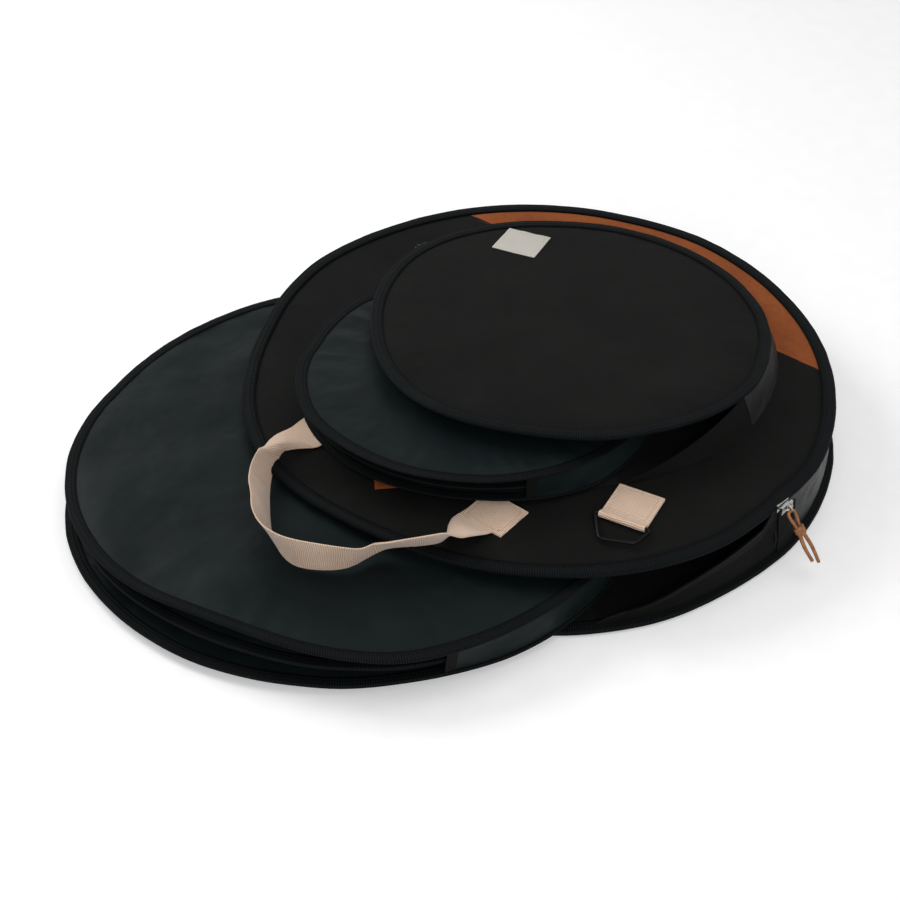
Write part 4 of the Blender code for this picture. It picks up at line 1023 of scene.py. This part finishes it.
def main_walls():
    """The slack wall round the hinge side, the lip that falls away in the mouth, and their folded lengths."""
    wall, lip_tape = wall_section(), wall_section(1 - LIP_TAPE_SHARE, 1)
    cloth_wall("hinge_cloth", ZIP_RIGHT - math.tau, SLUMP_END, wall, "gusset_nylon", ("hinge_gusset",),
               "shell", BAG, 11.0, **HINGE_FOLDS)
    cloth_wall("lip_cloth", LIP_START, ZIP_RIGHT, wall_section(0, 1 - LIP_TAPE_SHARE), "outer_fabric",
               ("mouth_gusset",), "shell", BAG, 12.0, **LIP_FOLDS)
    cloth_wall("lip_tape", LIP_START, ZIP_RIGHT, lip_tape, "zip_tape", ("lower_zip_tape",), "shell", BAG,
               13.0, **LIP_TAPE_FOLDS)
    zip_teeth("lip_teeth", LIP_START + TAPE_START, ZIP_RIGHT,
              lambda a: (wall(a)[2] - CLOTH / 2, wall(a)[3] - TOOTH_HEIGHT / 2), "shell", BAG)
    outer = BASE_RADIUS - BINDING_WIDTH - SEAT_GAP
    low = BASE_PANEL + SEAT_GAP
    middle = outer - (FOLDED_LIP_WIDTH - ZIP_TAPE_WIDTH)
    inner = middle - ZIP_TAPE_WIDTH
    flat_strip("folded_cloth", SLUMP_END, LIP_START, middle, outer, low, low + FOLDED_THICKNESS,
               "outer_fabric", ("folded_gusset",), "shell", BAG, 14.0, BASE_EDGE)
    flat_strip("folded_tape", ZIP_LEFT, LIP_START, inner, middle, low, low + TAPE_THICKNESS, "zip_tape",
               ("folded_zip_tape",), "shell", BAG, 15.0, BASE_EDGE)
    zip_teeth("folded_teeth", ZIP_LEFT, LIP_START,
              lambda a: (inner + BASE_EDGE.out(a), low + TOOTH_HEIGHT / 2), "shell", BAG)

    def over_wall(azimuth):
        """The patch lies on the wall, a little proud of it."""
        foot, _, top, _ = wall(azimuth)
        return foot + END_PROUD, BASE_BINDING_HEIGHT, top + END_PROUD, BASE_BINDING_HEIGHT + END_PATCH_HEIGHT

    cloth_wall("zip_end_cloth", ZIP_RIGHT + END_PATCH_START, ZIP_RIGHT + END_PATCH_END, over_wall,
               "outer_fabric", ("zip_end_patch",), "shell", BAG, 16.0, **END_PATCH_FOLDS)


def hanging_tape(name, teeth, start, end, outer, nodes, body, matrix, seed, rim):
    """The upper half of a zip, under a binding, and its teeth."""
    inner = outer - ZIP_TAPE_WIDTH
    flat_strip(name, start, end, inner, outer, -SEAT_GAP - HUNG_TAPE_BOTTOM, -SEAT_GAP - HUNG_TAPE_TOP,
               "zip_tape", nodes, body, matrix, seed, rim, TAPE_SWAY)
    zip_teeth(teeth, start, end,
              lambda a: (inner + TOOTH_REACH / 2 + rim.out(a), rim.up(a) - SEAT_GAP - TOOTH_HEIGHT / 2), body,
              matrix)


def upper_tape():
    """The upper half of the main zip."""
    hanging_tape("upper_tape", "upper_teeth", ZIP_LEFT, ZIP_RIGHT,
                 COVER_RADIUS - BINDING_WIDTH + TAPE_UNDER_BINDING, ("upper_zip_tape",), "cover", COVER, 17.0,
                 FRONT_EDGE)


# Dividers

def page_frame(base, radius, back, front, binding, level):
    """The frame of one page: it folds about its own back edge."""
    tilt = -math.atan2(front - back, 2 * radius) * level
    hinge = tilt_frame((0, radius, mix(binding, back, level)), tilt)
    return base @ hinge @ Matrix.Translation((0, -radius, -binding))


def divider(name, base, radius, back, front, binding, panel, mouth, mouth_half, sway, seed, rims, folds):
    """Three padded pages in ribbed bindings, joined round the back by one soft gusset."""
    body = name + "_divider"
    spare = (binding - panel) / 2
    for order, (level, page, inset) in enumerate(PAGES):
        disc = Disc(f"{name}_{page}_cloth", radius - inset, PAGE_BINDING_WIDTH, (spare, spare + panel),
                    (0.0, binding), page_frame(base, radius, back, front, binding, level), body,
                    "divider_nylon", seed + order, rims[order], sway * PAGE_SWAY_SHARES[order], folds=folds)
        disc.build_panel((f"{name}_divider_{page}_page",))
        disc.build_binding((f"{name}_divider_{page}_page_binding",))
    tilt = -math.atan2(front - back, 2 * radius)
    outer = radius - DIVIDER_GUSSET_INSET

    def section(azimuth):
        """From the lower page's binding to the upper one's."""
        high = back - binding / math.cos(tilt) - (radius - outer * math.sin(azimuth)) * math.tan(tilt)
        return (outer + rims[0].out(azimuth), binding - WALL_SINK + rims[0].up(azimuth),
                outer + rims[-1].out(azimuth), high + WALL_SINK + rims[-1].up(azimuth))

    start, end = mouth + mouth_half, mouth - mouth_half + math.tau
    cloth_wall(f"{name}_gusset_cloth", start, end, section, "divider_nylon", (f"{name}_divider_gusset",),
               body, base, seed + 5, **GUSSET_FOLDS)
    for side, azimuth in (("right", start), ("left", end)):
        foot, low, top, high = section(azimuth)
        ends = (foot + HEM_PROUD, low, top + HEM_PROUD, high)
        cloth_wall(f"{name}_gusset_{side}_hem", azimuth - HEM_SPAN / radius, azimuth + HEM_SPAN / radius,
                   lambda a, ends=ends: ends, "outer_fabric", (), body, base, seed + 6, **HEM_FOLDS)


def dividers():
    """The large divider in the main compartment and the small wedge-shaped one in the pocket."""
    divider("large", LARGE, LARGE_RADIUS, LARGE_THICKNESS, LARGE_THICKNESS, LARGE_BINDING, LARGE_PANEL, MOUTH,
            LARGE_MOUTH_HALF, LARGE_SWAY, 21.0, LARGE_EDGES, LARGE_FOLDS)
    divider("small", SMALL, SMALL_RADIUS, SMALL_BACK, SMALL_FRONT, SMALL_BINDING, SMALL_PANEL,
            MOUTH - SMALL_TURN, SMALL_MOUTH_HALF, SMALL_SWAY, 31.0, SMALL_EDGES, SMALL_FOLDS)


# Handle, ring tab and ring

def handle():
    """One strap sewn flat at both ends, twisting up on its edge to lie as a loop over the mouth."""
    edges = [smooth_path([Vector(row[k:k + 3]) * MILLIMETRE for row in HANDLE_ROUTE], HANDLE_STEPS)
             for k in (0, 3)]
    made = strap("handle_strap", list(zip(*edges)), WEBBING_WIDTH, WEBBING, "webbing", None, COVER,
                 ("handle_bend_left", "handle_bend_right", "handle_loop"))
    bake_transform(made)
    near, far = HANDLE_Y - WEBBING_WIDTH / 2, HANDLE_Y + WEBBING_WIDTH / 2
    front = front_disc()
    for name, side in (("right", 1), ("left", -1)):
        left, right = sorted((side * HANDLE_INNER_X, side * HANDLE_OUTER_X))
        outline = [(left, near), (right, near), (right, far), (left, far)]
        cloth_patch(f"handle_{name}_end", outline, front.surface, END_THICKNESS, "webbing", "cover", COVER,
                    (f"handle_end_{name}",), 42.0 + side)
        stitch_row(f"handle_{name}_stitches", sewn_lines(outline, crossed=True), front.surface,
                   SEAT_GAP + END_THICKNESS, "cover", COVER)


def ring_tab():
    """A strip of webbing folded round the bar of a ring, and the ring."""
    sewn = tilt_frame((*TAB_PLACE, COVER_PANEL + SEAT_GAP), turn=TAB_TURN)
    tab = COVER @ sewn @ Matrix.Translation((TAB_SHIFT, 0, 0))
    fold = RING_ROD + SWING_GAP + TAB_CLOTH / 2
    back = TAB_LENGTH / 2
    bar = Vector((0, TAB_CLOTH / 2 + fold - back, TAB_CLOTH / 2 + fold))
    upper = TAB_CLOTH * 3 / 2 + SEAT_GAP
    path = [Vector((0, y, TAB_CLOTH / 2)) for y in steps(back, bar.y, TAB_STEPS)[:-1]]
    path += [bar - fold * Vector((0, math.sin(turn), math.cos(turn)))
             for turn in steps(0.0, math.pi, FOLD_STEPS)]
    for y in steps(bar.y, back, FOLD_STEPS)[1:]:
        path.append(Vector((0, y, mix(bar.z + fold, upper, smooth_step((y - bar.y) / TAB_RAMP)))))
    half = TAB_WIDTH / 2
    side = Vector((half, 0, 0))
    strap("ring_tab_strap", [(point - side, point + side) for point in path], TAB_WIDTH, TAB_CLOTH, "webbing",
          "cover", tab, ("ring_tab",))
    flat = bar.y + TAB_RAMP
    outline = [(-half, flat), (half, flat), (half, back), (-half, back)]
    stitch_row("ring_tab_stitches", sewn_lines(outline), lambda x, y: upper + TAB_CLOTH / 2, 0.0, "cover",
               tab)
    corners = [bar + Vector((x, y, 0)) * MILLIMETRE for x, y in RING_OUTLINE]
    rounded = []
    for before, here, after in zip(corners[-1:] + corners[:-1], corners, corners[1:] + corners[:1]):
        entry = here + (before - here).normalized() * RING_CORNER
        leave = here + (after - here).normalized() * RING_CORNER
        rounded += [entry * (1 - t) ** 2 + here * 2 * t * (1 - t) + leave * t * t for t in CORNER_SHARES]
    tube("ring_loop", rounded, RING_ROD, "moulded_plastic", "ring", tab, closed=True, sides=RING_SIDES,
         stands_for=("ring",))


# Pocket and accent patch

def lid_underside(y):
    """Height of the underside of the lid's binding over a point of the cover."""
    return LID_HEIGHT + (y - POCKET_Y) * math.tan(LID_TILT) - LID_OVERHANG / math.cos(LID_TILT)


def pocket_section(azimuth):
    """The pocket's wall leans in to the lid, and falls away from both zip ends in the mouth."""
    top_radius = LID_RADIUS - POCKET_WALL_TOP_INSET + LID_EDGE.out(azimuth)
    full = lid_underside(POCKET_Y + top_radius * math.sin(azimuth)) - SEAT_GAP + LID_EDGE.up(azimuth)
    low = COVER_PANEL + SEAT_GAP + SLUMP_HEIGHT
    around = azimuth % math.tau
    share = 1.0
    if around > MOUTH:
        share = min((around - POCKET_LIP_RIGHT) / (POCKET_ZIP_RIGHT - POCKET_LIP_RIGHT), 1.0)
    elif around > POCKET_ZIP_LEFT:
        share = (POCKET_LIP_LEFT - around) / (POCKET_LIP_LEFT - POCKET_ZIP_LEFT)
    high = mix(low, full, max(share, 0.0))
    climb = (high - COVER_PANEL) / (full - COVER_PANEL)
    return POCKET_BASE, COVER_PANEL, mix(POCKET_BASE, top_radius, climb), high


def pocket_walls():
    """The pocket's leaning wall, its two lips and its folded length."""
    cloth_wall("pocket_cloth", POCKET_ZIP_RIGHT - math.tau, POCKET_ZIP_LEFT, pocket_section, "gusset_nylon",
               ("pocket_gusset",), "cover", POCKET, 51.0, **POCKET_FOLDS)
    cloth_wall("pocket_right_lip", POCKET_LIP_RIGHT, POCKET_ZIP_RIGHT, pocket_section, "outer_fabric",
               ("pocket_lip_right",), "cover", POCKET, 52.0, **RIGHT_LIP_FOLDS)
    cloth_wall("pocket_left_lip", POCKET_ZIP_LEFT, POCKET_LIP_LEFT, pocket_section, "outer_fabric",
               ("pocket_lip_left",), "cover", POCKET, 53.0, **LEFT_LIP_FOLDS)
    low = COVER_PANEL + SEAT_GAP / 2
    flat_strip("pocket_folded_tape", POCKET_LIP_LEFT, POCKET_LIP_RIGHT, POCKET_BASE - POCKET_FOLDED_WIDTH,
               POCKET_BASE, low, low + FOLDED_THICKNESS, "zip_tape", ("pocket_folded_lip",), "cover", POCKET,
               54.0, Rim(), FOLDED_SWAY)


def pocket_lid():
    """The padded lid with its half of the zip and its bare label."""
    hanging_tape("lid_tape", "lid_teeth", POCKET_ZIP_LEFT, POCKET_ZIP_RIGHT,
                 LID_RADIUS - LID_BINDING_WIDTH + TAPE_UNDER_BINDING, ("pocket_zip_tape",), "pocket_lid", LID,
                 55.0, LID_EDGE)
    lid = Disc("lid_cloth", LID_RADIUS, LID_BINDING_WIDTH, LID_CLOTH,
               (-LID_OVERHANG, LID_PANEL + LID_OVERHANG), LID, "pocket_lid", "outer_fabric", 3.0, LID_EDGE,
               crown=LID_CROWN, folds=LID_FOLDS)
    lid.build_panel(("pocket_lid_panel",))
    lid.build_binding(("pocket_lid_panel_binding",))
    half = LABEL_SIDE / 2
    turned, middle = Matrix.Rotation(LABEL_TURN, 2), Vector((LABEL_X, LABEL_Y))
    corners = ((-half, -half), (half, -half), (half, half), (-half, half))
    outline = [tuple(middle + turned @ Vector(corner)) for corner in corners]

    def over_lid(x, y):
        """The label lies on the cloth and over the inner edge of the binding."""
        return max(lid.surface(x, y), LID_PANEL + LID_OVERHANG / 2)

    cloth_patch("label_cloth", outline, over_lid, LABEL_THICKNESS, "label_cotton", "pocket_lid", LID,
                ("label_patch",), 56.0, LABEL_LUMPS)
    stitch_row("label_stitches", sewn_lines(outline), over_lid, SEAT_GAP + LABEL_THICKNESS * STITCH_SINK,
               "pocket_lid", LID, "label_cotton")


def accent_patch():
    """The canvas diamond under the handle, its back corner trimmed at the pocket."""
    reach = PATCH_SIDE / math.sqrt(2)
    trim = POCKET_Y - POCKET_BASE - SEAT_GAP
    spare = HANDLE_Y + reach - trim
    outline = [(0, HANDLE_Y - reach), (reach, HANDLE_Y), (spare, trim), (-spare, trim), (-reach, HANDLE_Y)]
    outline = [(x + PATCH_SHIFT_X, y + PATCH_SHIFT_Y) for x, y in outline]
    front = front_disc()
    cloth_patch("accent_cloth", outline, front.surface, PATCH_THICKNESS, "canvas", "cover", COVER,
                ("accent_patch",), 61.0)
    stitch_row("accent_stitches", sewn_lines(outline), front.surface,
               SEAT_GAP + PATCH_THICKNESS * STITCH_SINK, "cover", COVER, "canvas")


# Zip pulls

def puller_frame(base, azimuth, radius, drop):
    """The frame of a slider's link, at the crown of its bail."""
    out = radius + SWING_GAP + SLIDER_DEPTH + BAIL_REACH
    return base @ Matrix.Rotation(azimuth, 4, "Z") @ Matrix.Translation((out, 0, BAIL_RISE - drop))


def link_path():
    """The link's long round loop in its own frame."""
    path = []
    for low, start in ((0.0, 0.0), (-LINK_STRAIGHT, math.pi)):
        for turn in steps(start, start + math.pi, LINK_STEPS):
            path.append(Vector((LINK_HALF_WIDTH * math.cos(turn), 0, low + LINK_HALF_WIDTH * math.sin(turn))))
    return path


def lace(base):
    """A leather lace looped through the link, its knot and its two cut tails."""
    out = Vector((TAIL_OUT_SHARE, 0, -math.sqrt(1 - TAIL_OUT_SHARE ** 2)))
    side = Vector((0, 1, 0))
    over = out.cross(side)
    start = Vector((0, 0, -LINK_STRAIGHT)) + out * (LINK_HALF_WIDTH - LINK_ROD - SEAT_GAP - LACE_ROD)
    knot = start + out * (LACE_LOOP_DROP + KNOT_RADIUS / 2)

    def half_loop(sign):
        """From the knot up one side of the loop."""
        return [knot + side * (sign * LACE_MEET)] + [start + out * drop + side * (sign * away)
                                                     for drop, away in (LACE_BELLY, LACE_NECK)]

    bow = half_loop(1) + [start] + half_loop(-1)[::-1]
    tube("lace_loop", smooth_path(bow, LACE_LOOP_STEPS), LACE_ROD * LOOP_ROD_SHARE, "lace_leather",
         "zip_puller", base, sides=LACE_SIDES, stands_for=("main_zip_lace",))
    wraps = []
    for share in steps(0, 1, KNOT_STEPS):
        x, y, _ = polar(KNOT_RADIUS, math.tau * KNOT_TURNS * share)
        drop = KNOT_RADIUS * KNOT_LENGTH_SHARE * (share - 0.5)
        wraps.append(knot + out * drop + side * (x * KNOT_WIDTH_SHARE)
                     + over * (y * KNOT_DEPTH_SHARE))
    tube("lace_knot", wraps, LACE_ROD * KNOT_ROD_SHARE, "lace_leather", "zip_puller", base, sides=LACE_SIDES)
    for name, sign, share in TAILS:
        leave = knot + side * (sign * KNOT_RADIUS / 3)
        tip = leave + out * (TAIL_LENGTH * share) + side * (sign * TAIL_SPREAD)
        bend = (leave + tip) / 2 + side * (sign * TAIL_SPREAD / 2) + over * (sign * TAIL_BOW)
        path = smooth_path([leave, bend, tip], TAIL_STEPS)
        tail = tube(f"lace_{name}_tail", path, TAIL_ROD, "lace_leather", "zip_puller", base, sides=LACE_SIDES,
                    flat=TAIL_FLAT, taper=TAIL_TAPER)
        length = sum((after - before).length for before, after in zip(path, path[1:]))
        base @ leave
        [base @ p for p in path]


def zip_pulls():
    """Both links, and the lace on the main one."""
    main = puller_frame(COVER, ZIP_RIGHT, COVER_RADIUS, 0.0)
    tube("main_link_loop", link_path(), LINK_ROD, "nickel", "zip_puller", main, closed=True,
         stands_for=("main_zip_link",))
    lace(main)
    second = puller_frame(LID, POCKET_ZIP_LEFT, LID_RADIUS, POCKET_PULL_DROP)
    loop = tube("pocket_link_loop", link_path(), LINK_ROD, "nickel", "pocket_puller", second, closed=True,
                stands_for=("pocket_zip_link",))
    loop.material_slots[0].material = DARK_PLATING


# Camera, light and floor

def add_object(name, data, matrix):
    """Puts something into the scene."""
    made = bpy.data.objects.new(name, data)
    made.matrix_world = matrix
    bpy.context.scene.collection.objects.link(made)
    return made


def aimed(place, target):
    """A frame at a place that looks at a target."""
    look = (Vector(target) - Vector(place)).to_track_quat("-Z", "Y")
    return Matrix.Translation(place) @ look.to_matrix().to_4x4()


def camera():
    """The photograph's own view."""
    made = bpy.data.cameras.new("camera")
    made.lens, made.sensor_width = LENS, SENSOR
    bpy.context.scene.camera = add_object("camera", made, aimed(EYE, TARGET) @ Matrix.Rotation(ROLL, 4, "Z"))


def is_seen_directly(tree):
    """1 where the camera or a clear reflection sees the backdrop, 0 where it lights the bag."""
    path = tree.nodes.new("ShaderNodeLightPath")
    seen = [Signal(tree, path.outputs[ray])
            for ray in ("Is Camera Ray", "Is Transmission Ray", "Is Glossy Ray")]
    total = seen[0] + seen[1] + seen[2]
    return total.node("MINIMUM", total, 1.0)


def backdrop():
    """White where it is seen, and an even light where it isn't."""
    world = bpy.data.worlds.new("world")
    world.use_nodes = True
    bpy.context.scene.world = world
    tree = world.node_tree
    background = tree.nodes["Background"]
    strength = tree.nodes.new("ShaderNodeMapRange")
    strength.inputs["To Min"].default_value = WORLD_LIGHT
    strength.inputs["To Max"].default_value = 1.0
    tree.links.new(is_seen_directly(tree).socket, strength.inputs["Value"])
    tree.links.new(strength.outputs[0], background.inputs["Strength"])
    background.inputs["Color"].default_value = WHITE


def floor():
    """A pale floor that keeps the bag's shadow."""
    mesh = bpy.data.meshes.new("floor")
    corners = [(x * FLOOR_REACH, y * FLOOR_REACH, 0) for x, y in ((-1, -1), (1, -1), (1, 1), (-1, 1))]
    mesh.from_pydata(corners, [], [range(len(corners))])
    made = add_object("floor", mesh, Matrix.Translation((0, 0, -FLOOR_GAP)))
    material, tree, shader = new_material("floor", FLOOR_MIDDLE, roughness=0.9, specular=0.1)
    shade_by(tree, shader, noise_value(tree, own_place(tree), FLOOR_GRAIN), FLOOR_DARK, FLOOR_LIGHT)
    shader.inputs["Emission Color"].default_value = WHITE
    glow = is_seen_directly(tree) * FLOOR_GLOW
    tree.links.new(glow.socket, shader.inputs["Emission Strength"])
    mesh.materials.append(material)


def lights():
    """Soft lights from the left, from the front and from above."""
    for name, place, size, power in LIGHTS:
        light = bpy.data.lights.new(name, "AREA")
        light.shape, light.size, light.energy = "DISK", size, power
        add_object(name, light, aimed(place, LIGHT_TARGET))


def refinish():
    """Gives every CAD piece whose shape is kept the procedural finish of its own slot."""
    for key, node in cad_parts.items():
        for slot in node.material_slots:
            name = plain_name(slot.material) if slot.material else ""
            if name in LOOKS:
                slot.material = LOOKS[name]
            if key == "pocket_zip_slider":
                slot.material = DARK_PLATING


refinish()
main_panels()
main_walls()
upper_tape()
dividers()
handle()
ring_tab()
pocket_walls()
pocket_lid()
accent_patch()
zip_pulls()
camera()
backdrop()
floor()
lights()
bpy.context.scene.view_settings.view_transform = "Standard"
bpy.context.view_layer.update()
